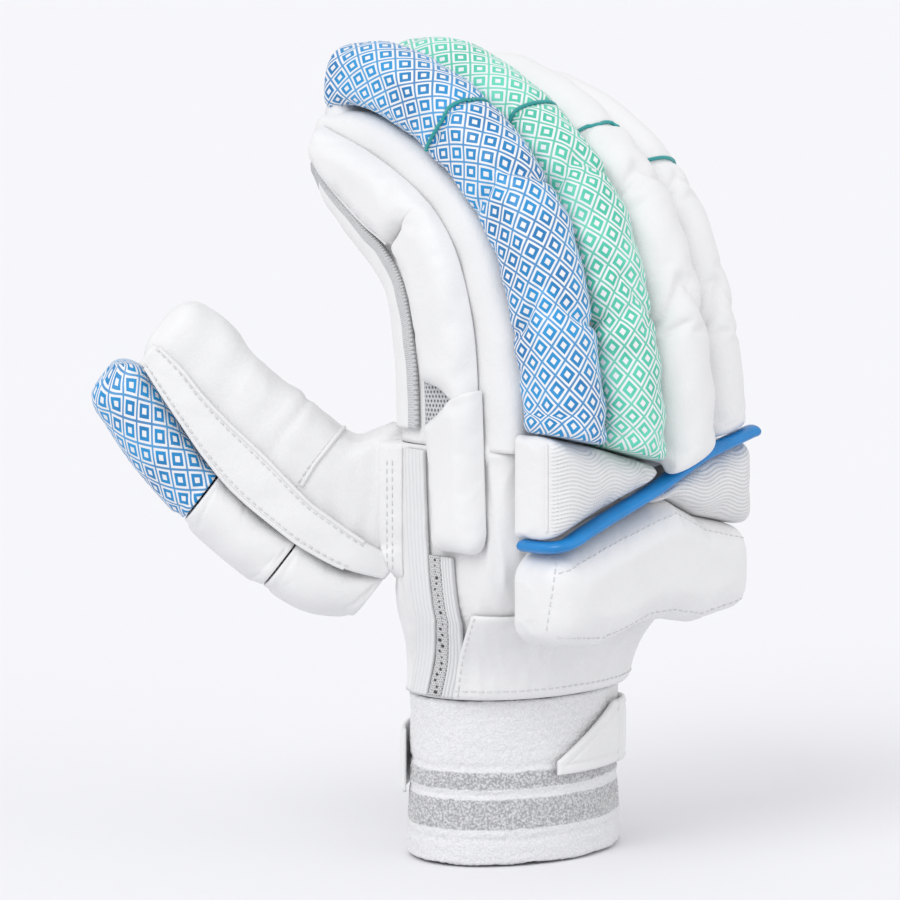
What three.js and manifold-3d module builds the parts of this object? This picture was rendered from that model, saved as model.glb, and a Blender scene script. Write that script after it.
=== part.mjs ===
// Right-hand cricket batting glove, held as a hand fills it, in millimetres.
// The origin is the centre of the cuff's mouth. +Z runs up the fingers, -Y is the back of
// the hand, +Y the palm and -X the thumb side. The fingers curl towards +Y.
import * as THREE from "three";
import { mergeVertices } from "three/addons/utils/BufferGeometryUtils.js";
import Module from "manifold-3d";

const wasm = await Module();
wasm.setup();

// Clearance and walls
const GAP = 0.3;
const LEATHER = 2;
const MESH_THICKNESS = 1.4;
const STRIP_THICKNESS = 1.6;
const CUFF_WALL = 3;
const BACK_PADDING = 7;

// Knitted cuff
const CUFF_WIDTH = 82;
const CUFF_DEPTH = 60;
const CUFF_HEIGHT = 55;
const CUFF_WAIST = 1.1;

// Leather hand body
const HAND_WIDTH = 95;
const HAND_DEPTH = 60;
const HAND_HEIGHT = 84;
const HAND_BACK = 44.7;

// Fingers: pitch across the knuckles, the curl's reach and rise, and the padded rolls
const FINGER_PITCH = 24.6;
const FINGER_REACH = 112;
const FINGER_RISE = 136;
const ROLL_THICKNESS = 23;
const ROLL_END = 6;
const STALL_END = 5.5;
const STALL_BORE_DEPTH = 27;
const KNUCKLE_DROP = 9.3;
const KNUCKLE_STAND = 1;
const FINGERS_SHIFT = 0.5;

// Pads on the back of the hand
const BACK_PAD_WIDTH = 95;
const BACK_PAD_CENTRE = 1.2;
const BACK_PAD_THICKNESS = 20;
const WRIST_PAD_RISE = 23.7;
const KNUCKLE_PAD_RISE = 1.7;
const PIPING_WIDTH = 4.2;
const PIPING_DEPTH = 4;
const PAD_ROUNDING = 6;
const PAD_EDGE_SHARE = 0.72;
const LINE_SPAN = 140;
const INNER_PAD_END = 0.05;
const OUTER_PAD_START = 0.03;

// Raised pads and strips on the index side
const SIDE_PAD_THICKNESS = 6.5;
const SIDE_PAD_ROUNDING = 4;
const SIDE_PAD_EDGE_SHARE = 0.35;
const SIDE_PAD_BOW = 0.02;

// Thumb: its length from the web, its width across, its full depth with the pad
const THUMB_LENGTH = 101;
const THUMB_WIDTH = 31;
const THUMB_DEPTH = 62;
const THUMB_PAD_THICKNESS = 20;
const THUMB_ORIGIN = [-39, 26, 111];
const THUMB_END = 0.88;
const THUMB_STALL_END = 7;
const THUMB_PAD_PROUD = 0.325;
const THUMB_TIP_END = 10;
const THUMB_BORE_HEIGHT = 23;
const THUMB_BORE_INTO_HAND = -0.2;
const THUMB_LINING = 1;
const BALL_OF_THUMB = -0.33;

// Leather round the heel of the hand: degrees from +X towards the palm, and height as a share
const HEEL_FROM = 207;
const HEEL_TO = 322;
const HEEL_FOOT = 0.005;
const HEEL_RISE = 0.3;

// Mesh gusset: degrees round the index stall's section, and shares along the finger
const GUSSET_INNER = 165;
const GUSSET_OUTER = 128;
const GUSSET_FROM = 0.09;
const GUSSET_TO = 0.995;

// Wrist strap
const STRAP_WIDTH = 21;
const STRAP_THICKNESS = 1.6;
const STRAP_Z = 29;
const STRAP_START = 152;
const STRAP_JOIN = -58;
const TAB_TIP = -104;
const STRAP_TILT = 8;

const HAND_BASE = CUFF_HEIGHT + GAP;
const HAND_TOP = HAND_BASE + HAND_HEIGHT;
const BACK_FACE = HAND_BACK + GAP;
const WRIST_PAD_BASE = HAND_BASE + WRIST_PAD_RISE;
const KNUCKLE_PAD_TOP = HAND_TOP + KNUCKLE_PAD_RISE;
const KNUCKLE_Z = HAND_TOP - KNUCKLE_DROP;
const KNUCKLE_BACK = BACK_FACE + ROLL_THICKNESS + KNUCKLE_STAND;

// Points round each ring
const BODY_COUNT = 32;
const CAVITY_COUNT = 20;
const ROLL_COUNT = 14;
const STALL_COUNT = 18;
const THUMB_COUNT = 16;
const BORE_COUNT = 10;
const THUMB_PAD_COUNT = 16;
const THUMB_BORE_COUNT = 12;
const CUFF_COUNT = 32;
const PIPING_COUNT = 8;

// Roundness of sections: 2 is a circle, higher is squarer
const ROLL_ROUND = 2.6;
const ROLL_FLAT = 7;
const STALL_BACK = 5;
const STALL_PALM = 4;
const THUMB_PALM = 3;

// How much of the width is left at a stall's end, and how far a fold draws a roll's sides in
const STALL_TIP_LEFT = 0.3;
const THUMB_TIP_LEFT = 0.25;
const FOLD_PINCH = 0.35;

// Colours
const WHITE = 0xe8e8e8;
const BLUE = 0x2a86cf;
const MINT = 0x5acdaf;
const PIPING_BLUE = 0x0082d7;
const GREY_MESH = 0xc4c6c8;
const KNIT = 0xe2e3e4;

// Hand body from the wrist to the knuckles
const BODY_COLUMNS = ["height", "width", "depth", "centre", "square"];
const BODY_ROWS = [
  [0.0, 0.85, 1.0, 0.0, 2.1],
  [0.18, 0.87, 1.02, 0.22, 2.5],
  [0.36, 0.955, 1.03, 0.6, 4],
  [0.54, 0.99, 1.01, 0.92, 6],
  [0.78, 1.0, 0.99, 0.98, 7],
  [1.0, 1.0, 0.97, 1.02, 7],
];

// One finger seen from the side: paired points on the back and on the palm face, as shares
// of the curl's reach and rise from the knuckle line
const CURL_COLUMNS = ["backReach", "backRise", "palmReach", "palmRise"];
const CURL_ROWS = [
  [0.0, 0.0, 0.715, 0.0],
  [0.0, 0.13, 0.712, 0.115],
  [0.025, 0.28, 0.713, 0.215],
  [0.068, 0.44, 0.722, 0.295],
  [0.15, 0.615, 0.733, 0.365],
  [0.24, 0.73, 0.755, 0.425],
  [0.37, 0.835, 0.8, 0.475],
  [0.52, 0.92, 0.86, 0.515],
  [0.68, 0.98, 0.93, 0.57],
  [0.83, 1.015, 1.0, 0.63],
  [0.935, 1.01, 1.045, 0.7],
];

// The four fingers: place and width in pitches, back offset in roll thicknesses, length
const FINGER_COLUMNS = ["name", "place", "width", "back", "length", "colour"];
const FINGER_ROWS = [
  ["index", -1.44, 1, 0, 1.0, BLUE],
  ["middle", -0.43, 1, -0.12, 1.005, MINT],
  ["ring", 0.58, 1, -0.1, 0.965, WHITE],
  ["little", 1.54, 0.9, 0.2, 0.92, WHITE],
];

// Folds of a roll at the finger joints: place along it, half length and depth
const FOLD_COLUMNS = ["place", "reach", "depth"];
const FOLD_ROWS = [
  [0.27, 0.022, 0.11],
  [0.53, 0.022, 0.12],
  [0.785, 0.015, 0.07],
];

// Thumb along its length: the palm edge, the strip's two edges and the pad's front
const THUMB_COLUMNS = ["along", "palm", "stripTop", "stripBase", "front", "width"];
const THUMB_ROWS = [
  [-0.14, -0.5, 0.07, 0.2, 0.47, 0.8],
  [0.0, -0.52, 0.11, 0.29, 0.6, 0.98],
  [0.14, -0.49, 0.12, 0.33, 0.635, 1.0],
  [0.22, -0.31, 0.12, 0.335, 0.645, 1.0],
  [0.43, -0.31, 0.07, 0.32, 0.63, 1.0],
  [0.58, -0.3, 0.045, 0.265, 0.59, 0.98],
  [0.7, -0.345, 0.015, 0.2, 0.55, 0.95],
  [0.8, -0.37, -0.025, 0.145, 0.505, 0.9],
  [0.9, -0.36, -0.045, 0.085, 0.445, 0.84],
];

function tableOf(columns, rows) {
  return rows.map((row) => Object.fromEntries(columns.map((name, i) => [name, row[i]])));
}

const BODY = tableOf(BODY_COLUMNS, BODY_ROWS);
const CURL = tableOf(CURL_COLUMNS, CURL_ROWS);
const FINGERS = tableOf(FINGER_COLUMNS, FINGER_ROWS);
const FOLDS = tableOf(FOLD_COLUMNS, FOLD_ROWS);
const THUMB = tableOf(THUMB_COLUMNS, THUMB_ROWS);

const mix = (a, b, t) => a + (b - a) * t;
const clamp = (t) => Math.min(1, Math.max(0, t));
const steps = (count) => Array.from({ length: count + 1 }, (_, i) => i / count);

// Smooth value of a column at a place along the table's key column
function columnAt(table, key, name, at) {
  let i = 0;
  while (i < table.length - 2 && at > table[i + 1][key]) i += 1;
  const span = table[i + 1][key] - table[i][key];
  const slopeAt = (k) => {
    const a = table[Math.max(0, k - 1)];
    const b = table[Math.min(table.length - 1, k + 1)];
    return (b[name] - a[name]) / (b[key] - a[key]);
  };
  const t = clamp((at - table[i][key]) / span);
  const t2 = t * t;
  const t3 = t2 * t;
  return (
    (2 * t3 - 3 * t2 + 1) * table[i][name] +
    (t3 - 2 * t2 + t) * span * slopeAt(i) +
    (3 * t2 - 2 * t3) * table[i + 1][name] +
    (t3 - t2) * span * slopeAt(i + 1)
  );
}

// Round power: a circle at 2, squarer above
function squircle(angle, power) {
  const c = Math.cos(angle);
  const s = Math.sin(angle);
  return [
    Math.sign(c) * Math.abs(c) ** (2 / power),
    Math.sign(s) * Math.abs(s) ** (2 / power),
  ];
}

function geometryOf(points, faces) {
  const geometry = new THREE.BufferGeometry();
  geometry.setAttribute("position", new THREE.Float32BufferAttribute(points.flat(), 3));
  geometry.setIndex(faces.flat());
  return geometry;
}

// Skin through rings of equal count, closed at both ends by a fan
function solidLoft(rings) {
  const count = rings[0].length;
  const points = rings.flat();
  const faces = [];
  for (let r = 0; r < rings.length - 1; r += 1) {
    for (let i = 0; i < count; i += 1) {
      const a = r * count + i;
      const b = r * count + ((i + 1) % count);
      faces.push([a, b, b + count], [a, b + count, a + count]);
    }
  }
  addFan(points, faces, rings[0], 0, false);
  addFan(points, faces, rings[rings.length - 1], (rings.length - 1) * count, true);
  return faceOut(geometryOf(points, faces));
}

function addFan(points, faces, ring, start, forward) {
  const centre = [0, 1, 2].map((k) => ring.reduce((sum, p) => sum + p[k], 0) / ring.length);
  const middle = points.length;
  points.push(centre);
  ring.forEach((_, i) => {
    const a = start + i;
    const b = start + ((i + 1) % ring.length);
    faces.push(forward ? [a, b, middle] : [b, a, middle]);
  });
}

// Turns a closed geometry's faces outwards
function faceOut(geometry) {
  const p = geometry.attributes.position;
  const index = geometry.index.array;
  const corner = (k) => new THREE.Vector3().fromBufferAttribute(p, index[k]);
  let volume = 0;
  for (let k = 0; k < index.length; k += 3) {
    volume += corner(k).dot(corner(k + 1).cross(corner(k + 2)));
  }
  if (volume > 0) return geometry;
  for (let k = 0; k < index.length; k += 3) {
    [index[k + 1], index[k + 2]] = [index[k + 2], index[k + 1]];
  }
  return geometry;
}

// Closed slab over a unit patch: at(u, v, h) gives the point at height h from base to face
function slab(us, vs, at) {
  const cols = us.length;
  const rows = vs.length;
  const points = [];
  const faces = [];
  [0, 1].forEach((h) => vs.forEach((v) => us.forEach((u) => points.push(at(u, v, h)))));
  const id = (i, j, h) => h * cols * rows + j * cols + i;
  const quad = (a, b, c, d) => faces.push([a, b, c], [a, c, d]);
  for (let j = 0; j < rows - 1; j += 1) {
    for (let i = 0; i < cols - 1; i += 1) {
      quad(id(i, j, 1), id(i + 1, j, 1), id(i + 1, j + 1, 1), id(i, j + 1, 1));
      quad(id(i, j, 0), id(i, j + 1, 0), id(i + 1, j + 1, 0), id(i + 1, j, 0));
    }
  }
  for (let i = 0; i < cols - 1; i += 1) {
    quad(id(i, 0, 0), id(i + 1, 0, 0), id(i + 1, 0, 1), id(i, 0, 1));
    quad(id(i + 1, rows - 1, 0), id(i, rows - 1, 0), id(i, rows - 1, 1), id(i + 1, rows - 1, 1));
  }
  for (let j = 0; j < rows - 1; j += 1) {
    quad(id(0, j + 1, 0), id(0, j, 0), id(0, j, 1), id(0, j + 1, 1));
    quad(id(cols - 1, j, 0), id(cols - 1, j + 1, 0), id(cols - 1, j + 1, 1), id(cols - 1, j, 1));
  }
  return faceOut(geometryOf(points, faces));
}

function solidOf(geometry) {
  const bare = geometry.clone();
  bare.deleteAttribute("normal");
  bare.deleteAttribute("uv");
  const merged = mergeVertices(bare, 1e-4);
  return new wasm.Manifold(
    new wasm.Mesh({
      numProp: 3,
      vertProperties: new Float32Array(merged.attributes.position.array),
      triVerts: new Uint32Array(merged.index.array),
    }),
  );
}

function geometryFrom(solid) {
  const mesh = solid.getMesh();
  const geometry = new THREE.BufferGeometry();
  geometry.setAttribute("position", new THREE.BufferAttribute(mesh.vertProperties, 3));
  geometry.setIndex(new THREE.BufferAttribute(mesh.triVerts, 1));
  return geometry;
}

const cut = (geometry, ...tools) =>
  geometryFrom(tools.reduce((rest, tool) => rest.subtract(solidOf(tool)), solidOf(geometry)));

// Hand body: its section at a share of its height, grown or shrunk by an offset
function bodySection(share, grow = 0) {
  const at = (name) => columnAt(BODY, "height", name, share);
  return {
    z: HAND_BASE + HAND_HEIGHT * share,
    halfX: (HAND_WIDTH / 2) * at("width") + grow,
    halfY: (HAND_DEPTH / 2) * at("depth") + grow,
    centre: -(HAND_BACK - HAND_DEPTH / 2) * at("centre"),
    square: at("square"),
  };
}

function bodyRing(share, grow, backInset, count) {
  const s = bodySection(share, grow);
  return Array.from({ length: count }, (_, i) => {
    const [c, t] = squircle((2 * Math.PI * i) / count, s.square);
    const y = s.centre + s.halfY * t;
    return [s.halfX * c, y + (t < 0 ? -t * backInset : 0), s.z];
  });
}

// Outer wall of the thumb side at a given y and z
function sideX(y, z, grow = 0) {
  const s = bodySection(clamp((z - HAND_BASE) / HAND_HEIGHT), grow);
  const across = Math.min(1, Math.abs((y - s.centre) / s.halfY));
  return -s.halfX * (1 - across ** s.square) ** (1 / s.square);
}

const BODY_SHARES = [0, 0.1, 0.2, 0.32, 0.45, 0.6, 0.8, 1];
function bodyHull(grow) {
  return solidLoft(BODY_SHARES.map((share) => bodyRing(share, grow, 0, BODY_COUNT)));
}

// Cavity that runs out past the given ends
function bodyCavity() {
  const rings = BODY_SHARES.map((share) => bodyRing(share, -LEATHER, BACK_PADDING - LEATHER, CAVITY_COUNT));
  const below = rings[0].map(([x, y, z]) => [x, y, z - 1]);
  const above = rings[rings.length - 1].map(([x, y, z]) => [x, y, z + 1]);
  return solidLoft([below, ...rings, above]);
}

function handShell() {
  return cut(bodyHull(0), bodyCavity(), thumbBore(THUMB_BORE_INTO_HAND));
}

// Finger curl: paired back and palm points at a share of the finger's length
function curlAt(finger, share) {
  const position = clamp(share) * (CURL.length - 1);
  const table = CURL.map((row, i) => ({ ...row, i }));
  const at = (name) => columnAt(table, "i", name, position);
  const back = -KNUCKLE_BACK + finger.back * ROLL_THICKNESS;
  const reach = FINGER_REACH * finger.length;
  const rise = FINGER_RISE * finger.length;
  const backPoint = [back + reach * at("backReach"), KNUCKLE_Z + rise * at("backRise")];
  const palmPoint = [
    -KNUCKLE_BACK + FINGER_REACH * at("palmReach") * mix(1, finger.length, share),
    KNUCKLE_Z + rise * at("palmRise"),
  ];
  const depth = Math.hypot(palmPoint[0] - backPoint[0], palmPoint[1] - backPoint[1]);
  const into = [(palmPoint[0] - backPoint[0]) / depth, (palmPoint[1] - backPoint[1]) / depth];
  return { back: backPoint, into, depth, along: [-into[1], into[0]] };
}

const fingerX = (finger) => finger.place * FINGER_PITCH + FINGERS_SHIFT;

// Point on a finger: x across, depth in from the back line, ahead past its end
function fingerPoint(finger, share, across, depth, ahead = 0) {
  const c = curlAt(finger, share);
  return [
    fingerX(finger) + across,
    c.back[0] + c.into[0] * depth + c.along[0] * ahead,
    c.back[1] + c.into[1] * depth + c.along[1] * ahead,
  ];
}

// Ring of a finger between two depths, round above or square as the powers say
function fingerRing(finger, share, spec) {
  const { near, far, half, ahead = 0, count, backPower, palmPower } = spec;
  return Array.from({ length: count }, (_, i) => {
    const angle = (2 * Math.PI * (i + 0.5)) / count;
    const [c, s] = squircle(angle, Math.sin(angle) < 0 ? backPower : palmPower);
    return fingerPoint(finger, share, half * c, (near + far) / 2 + ((far - near) / 2) * s, ahead);
  });
}

function foldAt(share) {
  return FOLDS.reduce((sum, fold) => {
    const d = Math.abs(share - fold.place) / fold.reach;
    return sum + (d < 1 ? fold.depth * (1 - d) : 0);
  }, 0);
}

// End rounding: how far past the end, and how much of the section is left
const TIP_ARC = [0.4, 0.75, 1].map((t) => ({
  ahead: Math.sin((t * Math.PI) / 2),
  left: Math.cos((t * Math.PI) / 2),
}));
const TIP_END = 0.45;

function roundedEnd(reach) {
  return TIP_ARC.map(({ ahead, left }) => ({ ahead: ahead * reach, left: mix(TIP_END, 1, left) }));
}

function rollShares() {
  const folds = FOLDS.flatMap((f) => [f.place - f.reach, f.place, f.place + f.reach]);
  return [0.14, 0.19, 0.36, 0.44, 0.62, 0.7, 0.86, 0.94, 1, ...folds].sort((a, b) => a - b);
}

// Height at which the rolls stand: on the inner knuckle pad, then on the piping
function rollSeat(x) {
  const onPad = x < INNER_PAD_END * BACK_PAD_WIDTH;
  return onPad ? backLine("knuckleTop")(x) : backLine("pipe")(x) + PIPING_WIDTH / 2;
}

const ROLL_FOOT = [
  { above: 1, left: 0.9 },
  { above: 4, left: 1 },
];

// Padded roll over the back of a finger
function roll(finger) {
  const half = (FINGER_PITCH * finger.width - 2 * GAP) / 2;
  const ring = (share, left, ahead) => {
    const fold = foldAt(share) * ROLL_THICKNESS;
    const middle = ROLL_THICKNESS / 2;
    return fingerRing(finger, share, {
      near: mix(middle, fold, left),
      far: mix(middle, ROLL_THICKNESS - 2 * GAP, left),
      half: (half - fold * FOLD_PINCH) * left,
      ahead,
      count: ROLL_COUNT,
      backPower: ROLL_ROUND,
      palmPower: ROLL_FLAT,
    });
  };
  const footRings = ROLL_FOOT.map(({ above, left }) =>
    ring(0.02, left, 0).map(([x, y]) => [x, y, rollSeat(x) + above]),
  );
  const bodyRings = [...footRings, ...rollShares().map((share) => ring(share, 1, 0))];
  const endRings = roundedEnd(ROLL_END).map((e) => ring(1, e.left, e.ahead));
  return solidLoft([...bodyRings, ...endRings]);
}

const STALL_SHARES = [0.18, 0.26, 0.34, 0.43, 0.52, 0.61, 0.7, 0.79, 0.88, 0.95, 1];

function stallHalf(finger) {
  return (FINGER_PITCH * finger.width - GAP) / 2;
}

function stallRings(finger, inset, near, far, count, reach, base) {
  const half = stallHalf(finger) - inset;
  const ring = (share, left, ahead) => {
    const depth = curlAt(finger, share).depth;
    const lo = near(depth);
    const hi = far(depth);
    const middle = (lo + hi) / 2;
    return fingerRing(finger, share, {
      near: mix(middle, lo, left),
      far: mix(middle, hi, left),
      half: half * mix(STALL_TIP_LEFT, 1, left),
      ahead,
      count,
      backPower: STALL_BACK,
      palmPower: STALL_PALM,
    });
  };
  const shares = STALL_SHARES.filter((s) => curlAt(finger, s).back[1] > HAND_TOP + 4);
  const body = shares.map((share) => ring(share, 1, 0));
  const ends = roundedEnd(reach).map((e) => ring(1, e.left, e.ahead));
  const foot = [base, KNUCKLE_PAD_TOP + PAD_ROUNDING + 1].map((z) =>
    ring(0.06, 1, 0).map(([x, y]) => [x, Math.max(y, -HAND_BACK), z]),
  );
  return [...foot, ...body, ...ends];
}

function stallBore(finger) {
  return solidLoft(
    stallRings(
      finger,
      LEATHER,
      (depth) => depth - LEATHER - STALL_BORE_DEPTH,
      (depth) => depth - LEATHER,
      BORE_COUNT,
      STALL_END - LEATHER,
      HAND_TOP - 1,
    ),
  );
}

function stall(finger) {
  const near = () => ROLL_THICKNESS;
  const far = (depth) => depth;
  const outer = solidLoft(
    stallRings(finger, 0, near, far, STALL_COUNT, STALL_END, HAND_TOP + GAP),
  );
  return cut(outer, stallBore(finger));
}

// Soft edge of a pad: share of its full height at a distance in from the edge
function softEdge(distance, rounding, floor) {
  const t = clamp(distance / rounding);
  return mix(floor, 1, Math.sqrt(1 - (1 - t) ** 2));
}

const EDGE_STEPS = [0, 0.05, 0.16, 0.4, 0.7, 0.94, 1];

// Padded block on the back of the hand between two edge lines z(x)
function backPad(xFrom, xTo, baseZ, topZ, thickness) {
  const place = (across) => BACK_PAD_CENTRE + (across - 0.5) * BACK_PAD_WIDTH;
  const share = (across) => (place(across) - xFrom) / (xTo - xFrom);
  const bends = LINES.map((row) => share(row.across)).filter((u) => u > 0.1 && u < 0.9);
  const ends = [0, 0.03, 0.09, 0.91, 0.97, 1];
  const us = [...ends, ...bends].sort((a, b) => a - b);
  return slab(us, EDGE_STEPS, (u, v, h) => {
    const x = mix(xFrom, xTo, u);
    const low = baseZ(x);
    const high = topZ(x);
    const z = mix(low, high, v);
    if (h === 0) return [x, -BACK_FACE, z];
    const acrossEdge = Math.min(u, 1 - u) * Math.abs(xTo - xFrom);
    const alongEdge = Math.min(v, 1 - v) * (high - low);
    const soft = [acrossEdge, alongEdge]
      .map((edge) => softEdge(edge, PAD_ROUNDING, PAD_EDGE_SHARE))
      .reduce((a, b) => a * b);
    return [x, -BACK_FACE - thickness * soft, z];
  });
}

// Lines across the back, as heights at a share of the pad width from the thumb side
const LINE_COLUMNS = ["across", "pipe", "knuckleTop", "wristTop", "wristBase"];
const LINE_ROWS = [
  [0.0, -0.225, 0.04, -0.25, 0.0],
  [0.25, -0.165, 0.0, -0.2, -0.02],
  [0.5, -0.11, -0.05, -0.155, 0.02],
  [0.6, -0.08, -0.07, -0.14, 0.02],
  [0.75, -0.04, -0.03, -0.19, 0.0],
  [1.0, 0.0, 0.02, -0.23, 0.03],
];
const LINES = tableOf(LINE_COLUMNS, LINE_ROWS);

// Straight runs between the rows, so that neighbours meet along the same line
function lineAt(name, across) {
  let i = 0;
  while (i < LINES.length - 2 && across > LINES[i + 1].across) i += 1;
  const span = LINES[i + 1].across - LINES[i].across;
  return mix(LINES[i][name], LINES[i + 1][name], (across - LINES[i].across) / span);
}

const BACK_PAD_LEFT = BACK_PAD_CENTRE - BACK_PAD_WIDTH / 2;
const BACK_PAD_RIGHT = BACK_PAD_CENTRE + BACK_PAD_WIDTH / 2;

function backLine(name) {
  const from = name === "wristBase" ? WRIST_PAD_BASE : KNUCKLE_PAD_TOP;
  const across = (x) => (x - BACK_PAD_CENTRE) / BACK_PAD_WIDTH + 0.5;
  return (x) => from + LINE_SPAN * lineAt(name, across(x));
}

function knucklePadInner() {
  const pipe = backLine("pipe");
  return backPad(
    BACK_PAD_LEFT,
    BACK_PAD_WIDTH * INNER_PAD_END,
    (x) => pipe(x) + PIPING_WIDTH / 2 + 2 * GAP,
    backLine("knuckleTop"),
    BACK_PAD_THICKNESS,
  );
}

function knucklePadOuter() {
  const pipe = backLine("pipe");
  const wrist = backLine("wristTop");
  return backPad(
    BACK_PAD_WIDTH * OUTER_PAD_START,
    BACK_PAD_RIGHT,
    (x) => wrist(x) + GAP,
    (x) => pipe(x) - PIPING_WIDTH / 2 - 2 * GAP,
    BACK_PAD_THICKNESS,
  );
}

function wristPad() {
  return backPad(
    BACK_PAD_LEFT,
    BACK_PAD_RIGHT,
    backLine("wristBase"),
    backLine("wristTop"),
    BACK_PAD_THICKNESS,
  );
}

function named(name, geometry, colour, roughness) {
  const material = new THREE.MeshStandardMaterial({ color: colour, roughness, metalness: 0 });
  const mesh = new THREE.Mesh(geometry, material);
  mesh.name = name;
  return mesh;
}

// Thumb frame: along its length, out to its padded front, and across its width
const THUMB_ALONG = new THREE.Vector3(-0.56, 0.56, 0.61).normalize();
const THUMB_ACROSS = new THREE.Vector3(-0.68, -0.72, 0.05);
THUMB_ACROSS.addScaledVector(THUMB_ALONG, -THUMB_ACROSS.dot(THUMB_ALONG)).normalize();
const THUMB_FRONT = new THREE.Vector3().crossVectors(THUMB_ACROSS, THUMB_ALONG);

function thumbPoint(along, front, across) {
  return new THREE.Vector3(...THUMB_ORIGIN)
    .addScaledVector(THUMB_ALONG, along * THUMB_LENGTH)
    .addScaledVector(THUMB_FRONT, front)
    .addScaledVector(THUMB_ACROSS, across)
    .toArray();
}

const thumbAt = (name, along) => columnAt(THUMB, "along", name, along);

function thumbRing(along, low, high, half, count, lowPower, highPower, ahead = 0) {
  return Array.from({ length: count }, (_, i) => {
    const angle = (2 * Math.PI * (i + 0.5)) / count;
    const [c, s] = squircle(angle, Math.sin(angle) < 0 ? lowPower : highPower);
    const front = (low + high) / 2 + ((high - low) / 2) * s;
    return thumbPoint(along + ahead / THUMB_LENGTH, front, half * c);
  });
}

const thumbHalf = (along) => (THUMB_WIDTH / 2) * thumbAt("width", along);
const thumbPadBase = (along) =>
  Math.min(thumbAt("front", along), thumbAt("stripBase", along) + THUMB_PAD_PROUD) * THUMB_DEPTH -
  THUMB_PAD_THICKNESS;

const THUMB_SHARES = [-0.14, 0, 0.13, 0.21, 0.36, 0.52, 0.68, 0.8, THUMB_END];
const SEAM_SHARES = [-0.4, 0, 0.2, 0.5, 0.8, 1.1];

// Whole outer form of the thumb, from the web to its rounded end
function thumbForm() {
  const ring = (along, left, ahead) => {
    const low = thumbAt("palm", along) * THUMB_DEPTH;
    const high = thumbPadBase(along);
    const middle = (low + high) / 2;
    return thumbRing(
      along,
      mix(middle, low, left),
      mix(middle, high, left),
      thumbHalf(along) * mix(THUMB_TIP_LEFT, 1, left),
      THUMB_COUNT,
      THUMB_PALM,
      STALL_BACK,
      ahead,
    );
  };
  const body = THUMB_SHARES.map((along) => ring(along, 1, 0));
  const end = roundedEnd(THUMB_STALL_END).map((e) => ring(THUMB_END, e.left, e.ahead));
  return solidLoft([...body, ...end]);
}

// Block to one side of the thumb's long seam, which follows the upper edge of the side strip
function besideThumbSeam(side) {
  const far = side * THUMB_DEPTH;
  const rings = SEAM_SHARES.map((along) => {
    const near = thumbAt("stripTop", along) * THUMB_DEPTH - (side * GAP) / 2;
    return [
      thumbPoint(along, near, -THUMB_WIDTH),
      thumbPoint(along, near, THUMB_WIDTH),
      thumbPoint(along, far, THUMB_WIDTH),
      thumbPoint(along, far, -THUMB_WIDTH),
    ];
  });
  return solidLoft(rings);
}

// Trough of leather round the thumb's palm side, and the padded block over its back
function thumbLeather(otherSide) {
  return cut(thumbForm(), bodyHull(GAP), thumbBore(THUMB_BORE_INTO_HAND), besideThumbSeam(otherSide));
}

// Room for the thumb, which runs on into the hand's own cavity
function thumbBore(start) {
  const shares = [start, -0.05, 0.1, 0.22, 0.4, 0.6, 0.78];
  const rings = shares.map((along) => {
    const low = Math.max(thumbAt("palm", along), BALL_OF_THUMB) * THUMB_DEPTH + LEATHER;
    const high = low + THUMB_BORE_HEIGHT;
    const half = thumbHalf(along) - LEATHER - THUMB_LINING;
    return thumbRing(along, low, high, half, THUMB_BORE_COUNT, THUMB_PALM, THUMB_PALM);
  });
  return solidLoft(rings);
}

const THUMB_PAD_PARTS = [
  ["thumb_tip_pad", 0.505, 0.9, BLUE],
  ["thumb_middle_pad", 0.17, 0.5, WHITE],
  ["thumb_base_pad", -0.13, 0.165, WHITE],
];

function thumbPad(from, to) {
  const last = to > 0.8;
  const ring = (along, left, ahead) => {
    const low = thumbPadBase(along) + GAP;
    const high = thumbAt("front", along) * THUMB_DEPTH;
    const middle = mix(low, high, 0.45);
    return thumbRing(
      along,
      mix(middle, low, left),
      mix(middle, high, left),
      (thumbHalf(along) - GAP) * left,
      THUMB_PAD_COUNT,
      ROLL_FLAT,
      ROLL_ROUND,
      ahead,
    );
  };
  const drawnIn = (t) => (t === 0 || (t === 1 && !last) ? 0.93 : 1);
  const body = steps(5).map((t) => ring(mix(from, to, t), drawnIn(t), 0));
  const end = last ? roundedEnd(THUMB_TIP_END).map((e) => ring(to, e.left, e.ahead)) : [];
  return cut(solidLoft([...body, ...end]), bodyHull(GAP));
}

// Leather strip along the side of the thumb that faces away from the palm
function thumbSideStrip() {
  return cut(
    slab(steps(8), [0, 0.5, 1], (u, v, h) => {
      const along = mix(-0.13, 0.93, u);
      const low = thumbAt("stripTop", along) * THUMB_DEPTH;
      const high = thumbAt("stripBase", along) * THUMB_DEPTH;
      const proud = h * STRIP_THICKNESS * (v === 0.5 ? 1.3 : 1);
      return thumbPoint(along, mix(low, high, v), thumbHalf(along) + GAP + proud);
    }),
    bodyHull(GAP),
  );
}

// Knitted cuff: an open oval tube
function cuffRing(z, grow) {
  return steps(CUFF_COUNT - 1).map((_, i) => {
    const angle = (2 * Math.PI * i) / CUFF_COUNT;
    return [
      (CUFF_WIDTH / 2 + grow) * Math.cos(angle),
      (CUFF_DEPTH / 2 + grow) * Math.sin(angle),
      z,
    ];
  });
}

const CUFF_SHARES = [0, 0.2, 0.36, 0.5, 0.7, 0.88, 1];

// The strap draws the knit in a little over its own height
function cuffDraw(z) {
  return -CUFF_WAIST * Math.exp(-(((z - STRAP_Z - STRAP_WIDTH / 3) / STRAP_WIDTH) ** 4));
}

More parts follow.
